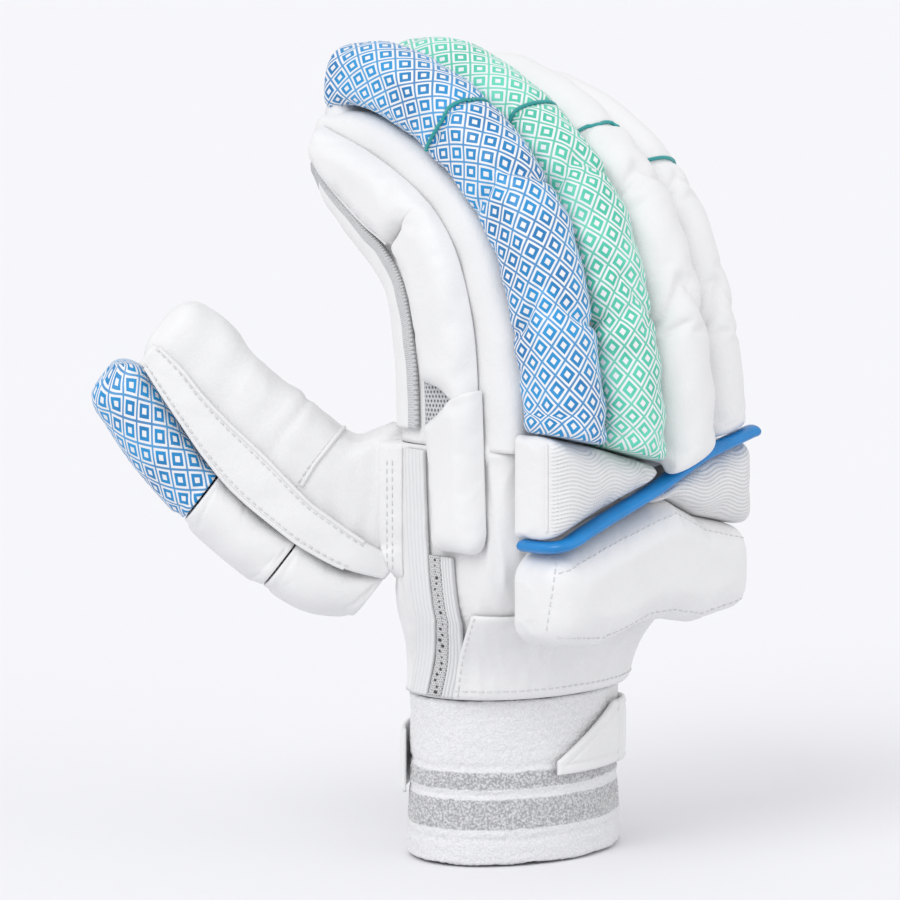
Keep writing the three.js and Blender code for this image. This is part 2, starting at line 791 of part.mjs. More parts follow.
function cuff() {
  const heights = CUFF_SHARES.map((t) => CUFF_HEIGHT * t);
  const outer = solidLoft(heights.map((z) => cuffRing(z, cuffDraw(z))));
  const inner = solidLoft([-1, CUFF_HEIGHT + 1].map((z) => cuffRing(z, -CUFF_WALL - CUFF_WAIST)));
  return cut(outer, inner);
}

// Point on the cuff at an angle from +X towards the palm
function cuffPoint(angle, z, grow) {
  const a = (angle * Math.PI) / 180;
  const x = (CUFF_WIDTH / 2) * Math.cos(a);
  const y = (CUFF_DEPTH / 2) * Math.sin(a);
  const n = new THREE.Vector2(x / CUFF_WIDTH ** 2, y / CUFF_DEPTH ** 2).normalize();
  return [x + n.x * grow, y + n.y * grow, z];
}

function wristStrap() {
  return slab(steps(14), [0, 1], (u, v, h) => {
    const angle = mix(STRAP_START, STRAP_JOIN, u);
    const base = STRAP_Z - STRAP_TILT * (1 - u);
    return cuffPoint(angle, base + STRAP_WIDTH * v, GAP + STRAP_THICKNESS * h);
  });
}

// Pointed end of the strap: its upper edge runs down to the tip
function strapTab() {
  return slab([0, 0.15, 0.4, 0.65, 0.85, 0.96, 1], [0, 0.5, 1], (u, v, h) => {
    const angle = mix(STRAP_JOIN - 0.5, TAB_TIP, u);
    const height = STRAP_WIDTH * mix(1, 0.22, clamp((u - 0.1) / 0.9) ** 1.1);
    return cuffPoint(angle, STRAP_Z + height * v, GAP + STRAP_THICKNESS * 0.8 * h);
  });
}

// Bead between the knuckle pads: round the thumb-side corner and up across the back
function piping() {
  const line = backLine("pipe");
  const half = PIPING_WIDTH / 2;
  const left = BACK_PAD_LEFT;
  const face = BACK_FACE + BACK_PAD_THICKNESS - PIPING_DEPTH + 1;
  const path = [
    [left + 3, -BACK_FACE - 2],
    [left + 3, -BACK_FACE - 9],
    [left + 4, -face + 2],
    [left + 7, -face],
    ...[0.16, 0.25, 0.38, 0.5, 0.6, 0.75, 0.88, 1.0].map((t) => [left + BACK_PAD_WIDTH * t, -face]),
  ];
  const rings = path.map(([x, y], k) => {
    const next = path[Math.min(k + 1, path.length - 1)];
    const before = path[Math.max(k - 1, 0)];
    const out = new THREE.Vector2(next[1] - before[1], before[0] - next[0]).normalize();
    return Array.from({ length: PIPING_COUNT }, (_, i) => {
      const angle = (2 * Math.PI * i) / PIPING_COUNT;
      const deep = PIPING_DEPTH * Math.cos(angle);
      return [x + out.x * deep, y + out.y * deep, line(x) + half * Math.sin(angle)];
    });
  });
  return solidLoft(rings);
}

// Point on the skin of a finger stall at an angle round its section
function stallSkin(finger, share, angle, grow) {
  const a = (angle * Math.PI) / 180;
  const depth = curlAt(finger, share).depth + grow;
  const near = ROLL_THICKNESS - grow;
  const [c, s] = squircle(a, Math.sin(a) < 0 ? STALL_BACK : STALL_PALM);
  const half = stallHalf(finger) + grow;
  return fingerPoint(finger, share, half * c, (near + depth) / 2 + ((depth - near) / 2) * s);
}

const INDEX = FINGERS[0];

// Raised pads of the index side: shares of the curl, and depths from the back line
const SIDE_PAD_COLUMNS = ["name", "from", "to", "nearFrom", "nearTo", "farFrom", "farTo"];
const SIDE_PAD_ROWS = [
  ["index_side_middle", 0.19, 0.575, 0.46, 0.47, 0.77, 0.78],
  ["index_side_tip", 0.585, 0.985, 0.47, 0.6, 0.79, 0.82],
];
const SIDE_PADS = tableOf(SIDE_PAD_COLUMNS, SIDE_PAD_ROWS);

const LONG_STEPS = [0, 0.06, 0.2, 0.4, 0.6, 0.8, 0.94, 1];
const CROSS_STEPS = [0, 0.14, 0.5, 0.86, 1];

function softPatch(u, v, length, width) {
  const alongEdge = Math.min(u, 1 - u) * length;
  const acrossEdge = Math.min(v, 1 - v) * width;
  const soft = (edge) => softEdge(edge, SIDE_PAD_ROUNDING, SIDE_PAD_EDGE_SHARE);
  return soft(alongEdge) * soft(acrossEdge);
}

function indexSidePad(pad) {
  const length = (pad.to - pad.from) * FINGER_RISE;
  return slab(LONG_STEPS, CROSS_STEPS, (u, v, h) => {
    const share = mix(pad.from, pad.to, u);
    const depth = curlAt(INDEX, share).depth;
    const bow = SIDE_PAD_BOW * Math.sin(Math.PI * u);
    const near = depth * (mix(pad.nearFrom, pad.nearTo, u) - bow);
    const far = depth * (mix(pad.farFrom, pad.farTo, u) + bow);
    const across = -stallHalf(INDEX) - GAP;
    const proud = h * SIDE_PAD_THICKNESS * softPatch(u, v, length, far - near);
    return fingerPoint(INDEX, share, across - proud, mix(near, far, v));
  });
}

// Raised pad where the index finger meets the hand, as shares of the hand's depth and height
const LOWER_PAD = { back: -0.6, palm: -0.133, slant: 0.083, base: 0.604, top: 1.163, notch: 0.083 };

function indexSideLower() {
  const back = LOWER_PAD.back * HAND_DEPTH;
  const palm = LOWER_PAD.palm * HAND_DEPTH;
  const base = HAND_BASE + LOWER_PAD.base * HAND_HEIGHT;
  const top = HAND_BASE + LOWER_PAD.top * HAND_HEIGHT;
  return slab(CROSS_STEPS, LONG_STEPS, (u, v, h) => {
    const slant = LOWER_PAD.slant * HAND_DEPTH * (1 - v);
    const notch = v > 0.9 ? LOWER_PAD.notch * HAND_HEIGHT : 0;
    const y = mix(back, palm, u) - slant * u;
    const z = mix(base, top, v) - notch * u * u;
    const proud = h * SIDE_PAD_THICKNESS * softPatch(v, u, top - base, palm - back);
    return [-HAND_WIDTH / 2 - GAP - proud, y, z];
  });
}

// Mesh gusset round the palm edge of the index finger's side
function indexGusset() {
  return slab(steps(9), steps(3), (u, v, h) => {
    const share = mix(GUSSET_FROM, GUSSET_TO, u);
    return stallSkin(INDEX, share, mix(GUSSET_INNER, GUSSET_OUTER, v), GAP + MESH_THICKNESS * h);
  });
}

// Strips down the thumb side: back edge at the wrist, at the bend and at the top, and width, as
// shares of the hand's depth; the height of the top as a share of the hand's height
const STRIP_COLUMNS = ["name", "wrist", "bend", "top", "width", "height", "thickness", "colour"];
const STRIP_ROWS = [
  ["side_rib_front", -0.2, -0.333, -0.317, 0.0867, 0.58, STRIP_THICKNESS, WHITE],
  ["side_mesh", -0.108, -0.242, -0.225, 0.0867, 0.58, MESH_THICKNESS, GREY_MESH],
  ["side_rib_rear", -0.012, -0.144, -0.108, 0.15, 0.985, STRIP_THICKNESS, WHITE],
];
const STRIPS = tableOf(STRIP_COLUMNS, STRIP_ROWS);
const STRIP_FOOT = 0.01;
const STRIP_BEND = 0.32;

function stripEdge(strip, share) {
  return share < STRIP_BEND
    ? mix(strip.wrist, strip.bend, (share - STRIP_FOOT) / (STRIP_BEND - STRIP_FOOT))
    : mix(strip.bend, strip.top, (share - STRIP_BEND) / (strip.height - STRIP_BEND));
}

function sideStrip(strip) {
  const between = BODY_SHARES.filter((share) => share > STRIP_FOOT && share < strip.height);
  const shares = [STRIP_FOOT, ...between, strip.height];
  return slab([0, 0.33, 0.67, 1], shares, (u, share, h) => {
    const z = HAND_BASE + HAND_HEIGHT * share;
    const y = HAND_DEPTH * (stripEdge(strip, share) + strip.width * u);
    return [sideX(y, z, GAP + strip.thickness * h), y, z];
  });
}

// Leather below the wrist pad, round the back of the wrist
function heelPanel() {
  return slab(steps(10), [0, 0.35, 0.7, 1], (u, v, h) => {
    const angle = (mix(HEEL_FROM, HEEL_TO, u) * Math.PI) / 180;
    const s = bodySection(HEEL_FOOT + HEEL_RISE * v, GAP + LEATHER * h);
    const [c, t] = squircle(angle, s.square);
    return [s.halfX * c, s.centre + s.halfY * t, s.z];
  });
}

const glove = new THREE.Group();
glove.add(named("cuff", cuff(), KNIT, 0.95));
glove.add(named("hand_shell", handShell(), WHITE, 0.6));
FINGERS.forEach((finger) => {
  glove.add(named(finger.name + "_stall", stall(finger), WHITE, 0.6));
  glove.add(named(finger.name + "_roll", roll(finger), finger.colour, 0.55));
});
glove.add(named("knuckle_pad_inner", knucklePadInner(), WHITE, 0.6));
glove.add(named("knuckle_pad_outer", knucklePadOuter(), WHITE, 0.6));
glove.add(named("wrist_pad", wristPad(), WHITE, 0.6));
glove.add(named("piping", piping(), PIPING_BLUE, 0.45));
glove.add(named("heel_panel", heelPanel(), WHITE, 0.6));
STRIPS.forEach((strip) => glove.add(named(strip.name, sideStrip(strip), strip.colour, 0.8)));
SIDE_PADS.forEach((pad) => glove.add(named(pad.name, indexSidePad(pad), WHITE, 0.6)));
glove.add(named("index_side_lower", indexSideLower(), WHITE, 0.6));
glove.add(named("index_gusset", indexGusset(), GREY_MESH, 0.9));
glove.add(named("wrist_strap", wristStrap(), WHITE, 0.6));
glove.add(named("strap_tab", strapTab(), WHITE, 0.6));
glove.add(named("thumb_stall", thumbLeather(1), WHITE, 0.6));
glove.add(named("thumb_back", thumbLeather(-1), WHITE, 0.6));
glove.add(named("thumb_side_strip", thumbSideStrip(), WHITE, 0.6));
THUMB_PAD_PARTS.forEach(([name, from, to, colour]) => {
  glove.add(named(name, thumbPad(from, to), colour, 0.55));
});

export default glove;
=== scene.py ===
import math

import bpy
import numpy as np
from mathutils import Matrix, Vector
from mathutils.bvhtree import BVHTree


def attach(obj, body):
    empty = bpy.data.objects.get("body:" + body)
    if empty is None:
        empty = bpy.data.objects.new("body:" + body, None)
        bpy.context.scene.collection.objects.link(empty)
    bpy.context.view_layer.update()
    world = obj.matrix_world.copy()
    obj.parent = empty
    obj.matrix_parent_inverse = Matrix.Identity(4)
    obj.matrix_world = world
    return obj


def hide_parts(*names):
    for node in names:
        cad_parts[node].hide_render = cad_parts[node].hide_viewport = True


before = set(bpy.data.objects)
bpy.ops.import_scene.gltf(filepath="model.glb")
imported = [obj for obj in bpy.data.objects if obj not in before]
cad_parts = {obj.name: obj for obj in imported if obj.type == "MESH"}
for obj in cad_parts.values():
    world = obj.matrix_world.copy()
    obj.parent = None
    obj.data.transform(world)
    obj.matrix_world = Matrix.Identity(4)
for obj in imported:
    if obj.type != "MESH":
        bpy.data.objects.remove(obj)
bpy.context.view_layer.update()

# Lengths are in millimetres until a mesh is made
MM = 0.001

# Clearance and walls
GAP = 0.3
LEATHER = 2.0
MESH_THICKNESS = 1.4
STRIP_THICKNESS = 1.6
CUFF_WALL = 3.0
BACK_PADDING = 7.0

# Knitted cuff and strap
CUFF_WIDTH = 82.0
CUFF_DEPTH = 60.0
CUFF_HEIGHT = 55.0
CUFF_WAIST = 1.1
STRAP_WIDTH = 21.0
STRAP_THICKNESS = 1.6
STRAP_Z = 29.0
STRAP_START = 152.0
STRAP_JOIN = -58.0
TAB_TIP = -104.0
STRAP_TILT = 8.0

# Leather hand body
HAND_WIDTH = 95.0
HAND_DEPTH = 60.0
HAND_HEIGHT = 84.0
HAND_BACK = 44.7
HAND_BASE = CUFF_HEIGHT + GAP
HAND_TOP = HAND_BASE + HAND_HEIGHT
BACK_FACE = HAND_BACK + GAP

# Fingers
FINGER_PITCH = 24.6
FINGERS_SHIFT = 0.5
FINGER_REACH = 112.0
FINGER_RISE = 136.0
ROLL_THICKNESS = 23.0
ROLL_END = 6.0
STALL_END = 5.5
STALL_BORE_DEPTH = 27.0
KNUCKLE_Z = HAND_TOP - 9.3
KNUCKLE_BACK = BACK_FACE + ROLL_THICKNESS + 1.0

# Pads on the back of the hand
BACK_PAD_WIDTH = 95.0
BACK_PAD_CENTRE = 1.2
BACK_PAD_THICKNESS = 20.0
WRIST_PAD_BASE = HAND_BASE + 23.7
KNUCKLE_PAD_TOP = HAND_TOP + 1.7
BACK_PAD_LEFT = BACK_PAD_CENTRE - BACK_PAD_WIDTH / 2
BACK_PAD_RIGHT = BACK_PAD_CENTRE + BACK_PAD_WIDTH / 2
INNER_PAD_END = 0.05
OUTER_PAD_START = 0.03
LINE_SPAN = 140.0
PIPING_WIDTH = 4.2
PIPING_DEPTH = 4.0
PAD_ROUNDING = 6.0
SIDE_PAD_THICKNESS = 6.5
SIDE_PAD_BOW = 0.02

# Thumb
THUMB_LENGTH = 101.0
THUMB_WIDTH = 31.0
THUMB_DEPTH = 62.0
THUMB_PAD_THICKNESS = 20.0
THUMB_ORIGIN = np.array([-39.0, 26.0, 111.0])
THUMB_END = 0.88
THUMB_STALL_END = 7.0
THUMB_PAD_PROUD = 0.325
THUMB_TIP_END = 10.0
THUMB_BORE_HEIGHT = 23.0
THUMB_BORE_END = 0.78
THUMB_BORE_EASE = 1.0
BALL_OF_THUMB = -0.33


def table_of(columns, rows):
    return {name: np.array([row[i] for row in rows], dtype=float) for i, name in enumerate(columns)}


BODY = table_of(
    ["height", "width", "depth", "centre", "square"],
    [
        [0.0, 0.85, 1.0, 0.0, 2.1],
        [0.18, 0.87, 1.02, 0.22, 2.5],
        [0.36, 0.955, 1.03, 0.6, 4],
        [0.54, 0.99, 1.01, 0.92, 6],
        [0.78, 1.0, 0.99, 0.98, 7],
        [1.0, 1.0, 0.97, 1.02, 7],
    ],
)
CURL = table_of(
    ["at", "back_reach", "back_rise", "palm_reach", "palm_rise"],
    [
        [0, 0.0, 0.0, 0.715, 0.0],
        [1, 0.0, 0.13, 0.712, 0.115],
        [2, 0.025, 0.28, 0.713, 0.215],
        [3, 0.068, 0.44, 0.722, 0.295],
        [4, 0.15, 0.615, 0.733, 0.365],
        [5, 0.24, 0.73, 0.755, 0.425],
        [6, 0.37, 0.835, 0.8, 0.475],
        [7, 0.52, 0.92, 0.86, 0.515],
        [8, 0.68, 0.98, 0.93, 0.57],
        [9, 0.83, 1.015, 1.0, 0.63],
        [10, 0.935, 1.01, 1.045, 0.7],
    ],
)
FINGERS = [
    {"name": "index", "place": -1.44, "width": 1.0, "back": 0.0, "length": 1.0},
    {"name": "middle", "place": -0.43, "width": 1.0, "back": -0.12, "length": 1.005},
    {"name": "ring", "place": 0.58, "width": 1.0, "back": -0.1, "length": 0.965},
    {"name": "little", "place": 1.54, "width": 0.9, "back": 0.2, "length": 0.92},
]
INDEX = FINGERS[0]
THUMB = table_of(
    ["along", "palm", "strip_top", "strip_base", "front", "width"],
    [
        [-0.14, -0.5, 0.07, 0.2, 0.47, 0.8],
        [0.0, -0.52, 0.11, 0.29, 0.6, 0.98],
        [0.14, -0.49, 0.12, 0.33, 0.635, 1.0],
        [0.22, -0.31, 0.12, 0.335, 0.645, 1.0],
        [0.43, -0.31, 0.07, 0.32, 0.63, 1.0],
        [0.58, -0.3, 0.045, 0.265, 0.59, 0.98],
        [0.7, -0.345, 0.015, 0.2, 0.55, 0.95],
        [0.8, -0.37, -0.025, 0.145, 0.505, 0.9],
        [0.9, -0.36, -0.045, 0.085, 0.445, 0.84],
    ],
)
LINES = table_of(
    ["across", "pipe", "knuckle_top", "wrist_top", "wrist_base"],
    [
        [0.0, -0.225, 0.04, -0.25, 0.0],
        [0.25, -0.165, 0.0, -0.2, -0.02],
        [0.5, -0.11, -0.05, -0.155, 0.02],
        [0.6, -0.08, -0.07, -0.14, 0.02],
        [0.75, -0.04, -0.03, -0.19, 0.0],
        [1.0, 0.0, 0.02, -0.23, 0.03],
    ],
)


# Shape arithmetic
def mix(a, b, t):
    return a + (b - a) * t


def clamp(t, low=0.0, high=1.0):
    return np.clip(t, low, high)


def rim(share):
    """Share of the way in from the nearer of two edges."""
    return np.minimum(share, 1 - share)


def dip(distance, width, power=2):
    """1 on a line, falling away to 0 over about its width."""
    return np.exp(-((distance / width) ** power))


def turns(count, start=0.0):
    """Angles of an even ring."""
    return start + 2 * math.pi * np.arange(count) / count


def smooth(low, high, value):
    t = clamp((value - low) / (high - low))
    return t * t * (3 - 2 * t)


def hermite(keys, values, at):
    """Smooth values between keys, each key's slope taken from its neighbours."""
    last = len(keys) - 1
    i = clamp(np.searchsorted(keys, at, side="left") - 1, 0, last - 1).astype(int)
    before = np.maximum(np.arange(last + 1) - 1, 0)
    after = np.minimum(np.arange(last + 1) + 1, last)
    wide = (...,) + (None,) * (values.ndim - 1)
    slopes = (values[after] - values[before]) / (keys[after] - keys[before])[wide]
    span = (keys[i + 1] - keys[i])[wide]
    t = clamp((at - keys[i]) / (keys[i + 1] - keys[i]))[wide]
    t2 = t * t
    t3 = t2 * t
    return (
        (2 * t3 - 3 * t2 + 1) * values[i]
        + (t3 - 2 * t2 + t) * span * slopes[i]
        + (3 * t2 - 2 * t3) * values[i + 1]
        + (t3 - t2) * span * slopes[i + 1]
    )


def column(table, key, name, at):
    """Smooth value of a column at a place along the table's key column."""
    return hermite(table[key], table[name], np.asarray(at, dtype=float))


def squircle(angle, power):
    c = np.cos(angle)
    s = np.sin(angle)
    return np.sign(c) * np.abs(c) ** (2 / power), np.sign(s) * np.abs(s) ** (2 / power)


def body_section(share, grow=0.0):
    def at(name):
        return column(BODY, "height", name, share)

    z = HAND_BASE + HAND_HEIGHT * np.asarray(share)
    half_x = HAND_WIDTH / 2 * at("width") + grow
    half_y = HAND_DEPTH / 2 * at("depth") + grow
    return z, half_x, half_y, -(HAND_BACK - HAND_DEPTH / 2) * at("centre"), at("square")


def body_points(share, angle, grow=0.0, back_inset=0.0):
    z, half_x, half_y, centre, square = body_section(share, grow)
    c, t = squircle(angle, square)
    y = centre + half_y * t
    y = y + np.where(t < 0, -t * back_inset, 0)
    return np.stack(np.broadcast_arrays(half_x * c, y, z), axis=-1)


def side_x(y, z, grow=0.0):
    """Outer wall of the thumb side at a given y and z."""
    share = clamp((z - HAND_BASE) / HAND_HEIGHT)
    _, half_x, half_y, centre, square = body_section(share, grow)
    across = clamp(np.abs((y - centre) / half_y), 0, 1)
    return -half_x * (1 - across**square) ** (1 / square)


def in_hand(points, grow=GAP):
    """True where a point lies inside the hand body."""
    x, y, z = points[..., 0], points[..., 1], points[..., 2]
    share = (z - HAND_BASE) / HAND_HEIGHT
    _, half_x, half_y, centre, square = body_section(clamp(share), grow)
    inside = np.abs(x / half_x) ** square + np.abs((y - centre) / half_y) ** square < 1
    return inside & (share > 0) & (share < 1)


def curl(finger, share):
    """Back point, direction into the palm, depth and direction along a finger."""
    share = np.asarray(share, dtype=float)
    position = clamp(share) * (len(CURL["at"]) - 1)

    def at(name):
        return column(CURL, "at", name, position)

    reach = FINGER_REACH * finger["length"]
    rise = FINGER_RISE * finger["length"]
    back = -KNUCKLE_BACK + finger["back"] * ROLL_THICKNESS
    by = back + reach * at("back_reach")
    bz = KNUCKLE_Z + rise * at("back_rise")
    py = -KNUCKLE_BACK + FINGER_REACH * at("palm_reach") * mix(1, finger["length"], share)
    pz = KNUCKLE_Z + rise * at("palm_rise")
    depth = np.hypot(py - by, pz - bz)
    return by, bz, (py - by) / depth, (pz - bz) / depth, depth


def finger_x(finger):
    return finger["place"] * FINGER_PITCH + FINGERS_SHIFT


def finger_points(finger, share, across, depth, ahead=0.0):
    by, bz, iy, iz, _ = curl(finger, share)
    x = finger_x(finger) + across
    y = by + iy * depth - iz * ahead
    z = bz + iz * depth + iy * ahead
    return np.stack(np.broadcast_arrays(x, y, z), axis=-1)


def finger_section(finger, share, half, near, far, angle, powers, ahead=0.0):
    """A rounded section across a finger, from near to far of its back."""
    c, s = squircle(angle, np.where(np.sin(angle) < 0, *powers))
    return finger_points(finger, share, half * c, (near + far) / 2 + (far - near) / 2 * s, ahead)


def stall_half(finger):
    return (FINGER_PITCH * finger["width"] - GAP) / 2


def back_line(name):
    base = WRIST_PAD_BASE if name == "wrist_base" else KNUCKLE_PAD_TOP

    def at(x):
        across = (x - BACK_PAD_CENTRE) / BACK_PAD_WIDTH + 0.5
        return base + LINE_SPAN * np.interp(across, LINES["across"], LINES[name])

    return at


def toward(azimuth, elevation):
    """Direction from the glove towards an azimuth and elevation in degrees."""
    a, e = math.radians(azimuth), math.radians(elevation)
    return np.array([math.sin(a) * math.cos(e), -math.cos(a) * math.cos(e), math.sin(e)])


def unit(vectors):
    return vectors / np.maximum(np.linalg.norm(vectors, axis=-1, keepdims=True), 1e-9)


def lumps(points, size, seed):
    """Seeded smooth unevenness, about -1 to 1, with lumps of the given size."""
    rng = np.random.default_rng(seed)
    total = np.zeros(points.shape[:-1])
    waves = 8
    for _ in range(waves):
        wave = rng.normal(size=3)
        wave *= 2 * math.pi / (size * rng.uniform(0.7, 1.5)) / np.linalg.norm(wave)
        total += np.sin(points @ wave + rng.uniform(0, 2 * math.pi))
    return total / math.sqrt(2 * waves)


def even_ring(ring, count):
    """A closed ring resampled at equal lengths from its first point."""
    closed = np.vstack([ring, ring[:1]])
    lengths = np.concatenate([[0], np.cumsum(np.linalg.norm(np.diff(closed, axis=0), axis=1))])
    at = np.linspace(0, lengths[-1], count, endpoint=False)
    return np.stack([np.interp(at, lengths, closed[:, k]) for k in range(3)], axis=-1)


def spline_rows(rows, at_share):
    """Smooth rows between control rows, at shares of the whole length."""
    rows = np.asarray(rows)
    step = np.linalg.norm(np.diff(rows, axis=0), axis=-1).mean(axis=-1)
    keys = np.concatenate([[0], np.cumsum(step)])
    return hermite(keys / keys[-1], rows, at_share)


def spline_tube(rings, columns, at_share):
    """Smooth rings between control rings that are first resampled at equal lengths."""
    return spline_rows([even_ring(ring, columns) for ring in rings], at_share)


def grid_normals(points):
    """Outward-or-inward unit normals of a grid that closes on itself across its columns."""
    along = np.gradient(points, axis=0)
    round_it = np.roll(points, -1, axis=1) - np.roll(points, 1, axis=1)
    normals = unit(np.cross(round_it, along))
    middle = points.mean(axis=1, keepdims=True)
    if np.sum(normals * (points - middle)) < 0:
        normals = -normals
    return normals


def sunk(grid, depth):
    """A tube's grid pressed in by a depth at each of its points."""
    return grid - grid_normals(grid) * depth[..., None]


# Meshes
def add_object(name, data):
    obj = bpy.data.objects.new(name, data)
    bpy.context.scene.collection.objects.link(obj)
    return obj


def mesh_from(name, points, faces, uv=None, face_uv=None):
    """Makes an object from points in millimetres, with its faces turned outwards."""
    points = np.asarray(points, dtype=float)
    triangles = []
    for face in faces:
        for k in range(1, len(face) - 1):
            triangles.append((face[0], face[k], face[k + 1]))
    tri = np.array(triangles)
    a, b, c = points[tri[:, 0]], points[tri[:, 1]], points[tri[:, 2]]
    centre = points.mean(axis=0)
    volume = np.einsum("ij,ij->i", a - centre, np.cross(b - centre, c - centre)).sum()
    if volume < 0:
        faces = [tuple(reversed(face)) for face in faces]
        if face_uv is not None:
            face_uv = [list(reversed(f)) for f in face_uv]
    mesh = bpy.data.meshes.new(name)
    mesh.from_pydata((points * MM).tolist(), [], faces)
    if uv is not None or face_uv is not None:
        layer = mesh.uv_layers.new(name="pattern")
        values = []
        for k, face in enumerate(faces):
            for j, vertex in enumerate(face):
                values.extend(face_uv[k][j] if face_uv is not None else uv[vertex])
        layer.data.foreach_set("uv", np.array(values, dtype=np.float32))
    mesh.polygons.foreach_set("use_smooth", [True] * len(mesh.polygons))
    mesh.update()
    return add_object(name, mesh)


def tube_faces(rows, count, closed_rows=False):
    faces = []
    wraps = rows if closed_rows else rows - 1
    for r in range(wraps):
        base = r * count
        above = ((r + 1) % rows) * count
        for i in range(count):
            j = (i + 1) % count
            faces.append((base + i, base + j, above + j, above + i))
    if closed_rows:
        return faces
    start = rows * count
    for i in range(count):
        j = (i + 1) % count
        faces.append((j, i, start))
        faces.append(((rows - 1) * count + i, (rows - 1) * count + j, start + 1))
    return faces


def tube(grid):
    """Points and faces of a tube from its rings, its two ends closed."""
    ends = np.stack([grid[0].mean(axis=0), grid[-1].mean(axis=0)])
    return np.vstack([grid.reshape(-1, 3), ends]), tube_faces(*grid.shape[:2])


def tube_uv(grid):
    """Lengths in millimetres round each ring from its middle column, and along the middle."""
    rows, count, _ = grid.shape
    closed = np.concatenate([grid, grid[:, :1]], axis=1)
    round_it = np.concatenate(
        [np.zeros((rows, 1)), np.cumsum(np.linalg.norm(np.diff(closed, axis=1), axis=2), axis=1)], axis=1
    )
    u = round_it - round_it[:, count // 2 : count // 2 + 1]
    middle = grid[:, count // 2]
    v = np.concatenate([[0], np.cumsum(np.linalg.norm(np.diff(middle, axis=0), axis=1))])
    return np.stack([u, np.repeat(v[:, None], count + 1, axis=1)], axis=-1)


def tube_map(grid):
    """A tube's pattern map; for each point, how far round and along it lies; each ring's girth."""
    uv = tube_uv(grid)
    return uv, uv[:, :-1, 0], uv[:, :-1, 1], uv[:, -1:, 0] - uv[:, :1, 0]


def with_ends(values, end):
    """Values of a tube's grid as one list, with one more for each of its two closed ends."""
    flat = values.reshape(-1, *values.shape[2:])
    return np.concatenate([flat, np.full((2, *flat.shape[1:]), float(end))])


def tube_face_uv(uv):
    rows, wide, _ = uv.shape
    count = wide - 1
    out = []
    for r in range(rows - 1):
        for i in range(count):
            out.append([uv[r, i], uv[r, i + 1], uv[r + 1, i + 1], uv[r + 1, i]])
    first = uv[0].mean(axis=0)
    last = uv[-1].mean(axis=0)
    for i in range(count):
        out.append([uv[0, i + 1], uv[0, i], first])
        out.append([uv[-1, i], uv[-1, i + 1], last])
    return out


def lattice(us, vs, hs):
    """Surface points and faces of a block over a unit patch, sides included."""
    nu, nv, nh = len(us) - 1, len(vs) - 1, len(hs) - 1
    ids = {}
    keys = []
    faces = []

    def vertex(i, j, k):
        if (i, j, k) not in ids:
            ids[(i, j, k)] = len(keys)
            keys.append((us[i], vs[j], hs[k]))
        return ids[(i, j, k)]

    def quad(*corners):
        faces.append(tuple(vertex(*corner) for corner in corners))

    for i in range(nu):
        for j in range(nv):
            quad((i, j, nh), (i + 1, j, nh), (i + 1, j + 1, nh), (i, j + 1, nh))
            quad((i, j, 0), (i, j + 1, 0), (i + 1, j + 1, 0), (i + 1, j, 0))
    for k in range(nh):
        for i in range(nu):
            quad((i, 0, k), (i + 1, 0, k), (i + 1, 0, k + 1), (i, 0, k + 1))
            quad((i + 1, nv, k), (i, nv, k), (i, nv, k + 1), (i + 1, nv, k + 1))
        for j in range(nv):
            quad((0, j + 1, k), (0, j, k), (0, j, k + 1), (0, j + 1, k + 1))
            quad((nu, j, k), (nu, j + 1, k), (nu, j + 1, k + 1), (nu, j, k + 1))
    return np.array(keys).T, faces


def even(count):
    return np.linspace(0, 1, count + 1)


# Material building
def node(tree, kind, inputs=None, **settings):
    """A node with its settings made and its sockets linked or set."""
    made = tree.nodes.new(kind)
    for key, value in settings.items():
        setattr(made, key, value)
    for key, value in (inputs or {}).items():
        if isinstance(value, bpy.types.NodeSocket):
            tree.links.new(value, made.inputs[key])
        else:
            made.inputs[key].default_value = value
    return made


def calc(tree, operation, a, b=0.0, c=0.0):
    return node(tree, "ShaderNodeMath", {0: a, 1: b, 2: c}, operation=operation).outputs[0]


def ramp(tree, value, low, high, out_low=0.0, out_high=1.0):
    inputs = {"Value": value, "From Min": low, "From Max": high, "To Min": out_low, "To Max": out_high}
    return node(tree, "ShaderNodeMapRange", inputs).outputs[0]


def blend_colour(tree, share, a, b):
    return node(tree, "ShaderNodeMix", {0: share, 6: a, 7: b}, data_type="RGBA").outputs[2]


def new_finish(name, roughness, specular=0.4, sheen=0.0, coat=0.0):
    material = bpy.data.materials.new(name)
    material.use_nodes = True
    tree = material.node_tree
    sockets = ("Roughness", "Specular IOR Level", "Sheen Weight", "Coat Weight")
    for socket, value in zip(sockets, (roughness, specular, sheen, coat)):
        tree.nodes["Principled BSDF"].inputs[socket].default_value = value
    return material, tree


def put(tree, socket, value):
    tree.links.new(value, tree.nodes["Principled BSDF"].inputs[socket])


def place_on(tree):
    """Object coordinates, in metres."""
    return node(tree, "ShaderNodeTexCoord").outputs["Object"]


def axis_of(tree, axis):
    return node(tree, "ShaderNodeSeparateXYZ", {"Vector": place_on(tree)}).outputs[axis]


def pattern_axes(tree):
    """Across and along the piece's own pattern map, in millimetres."""
    flat = node(tree, "ShaderNodeUVMap", uv_map="pattern").outputs["UV"]
    parts = node(tree, "ShaderNodeSeparateXYZ", {"Vector": flat}).outputs
    return parts["X"], parts["Y"]


def noise(tree, scale, detail=3.0, rough=0.55, distortion=0.0):
    inputs = {"Vector": place_on(tree), "Scale": scale, "Detail": detail, "Roughness": rough, "Distortion": distortion}
    return node(tree, "ShaderNodeTexNoise", inputs).outputs["Fac"]


def cells(tree, scale):
    return node(tree, "ShaderNodeTexVoronoi", {"Vector": place_on(tree), "Scale": scale}).outputs["Distance"]


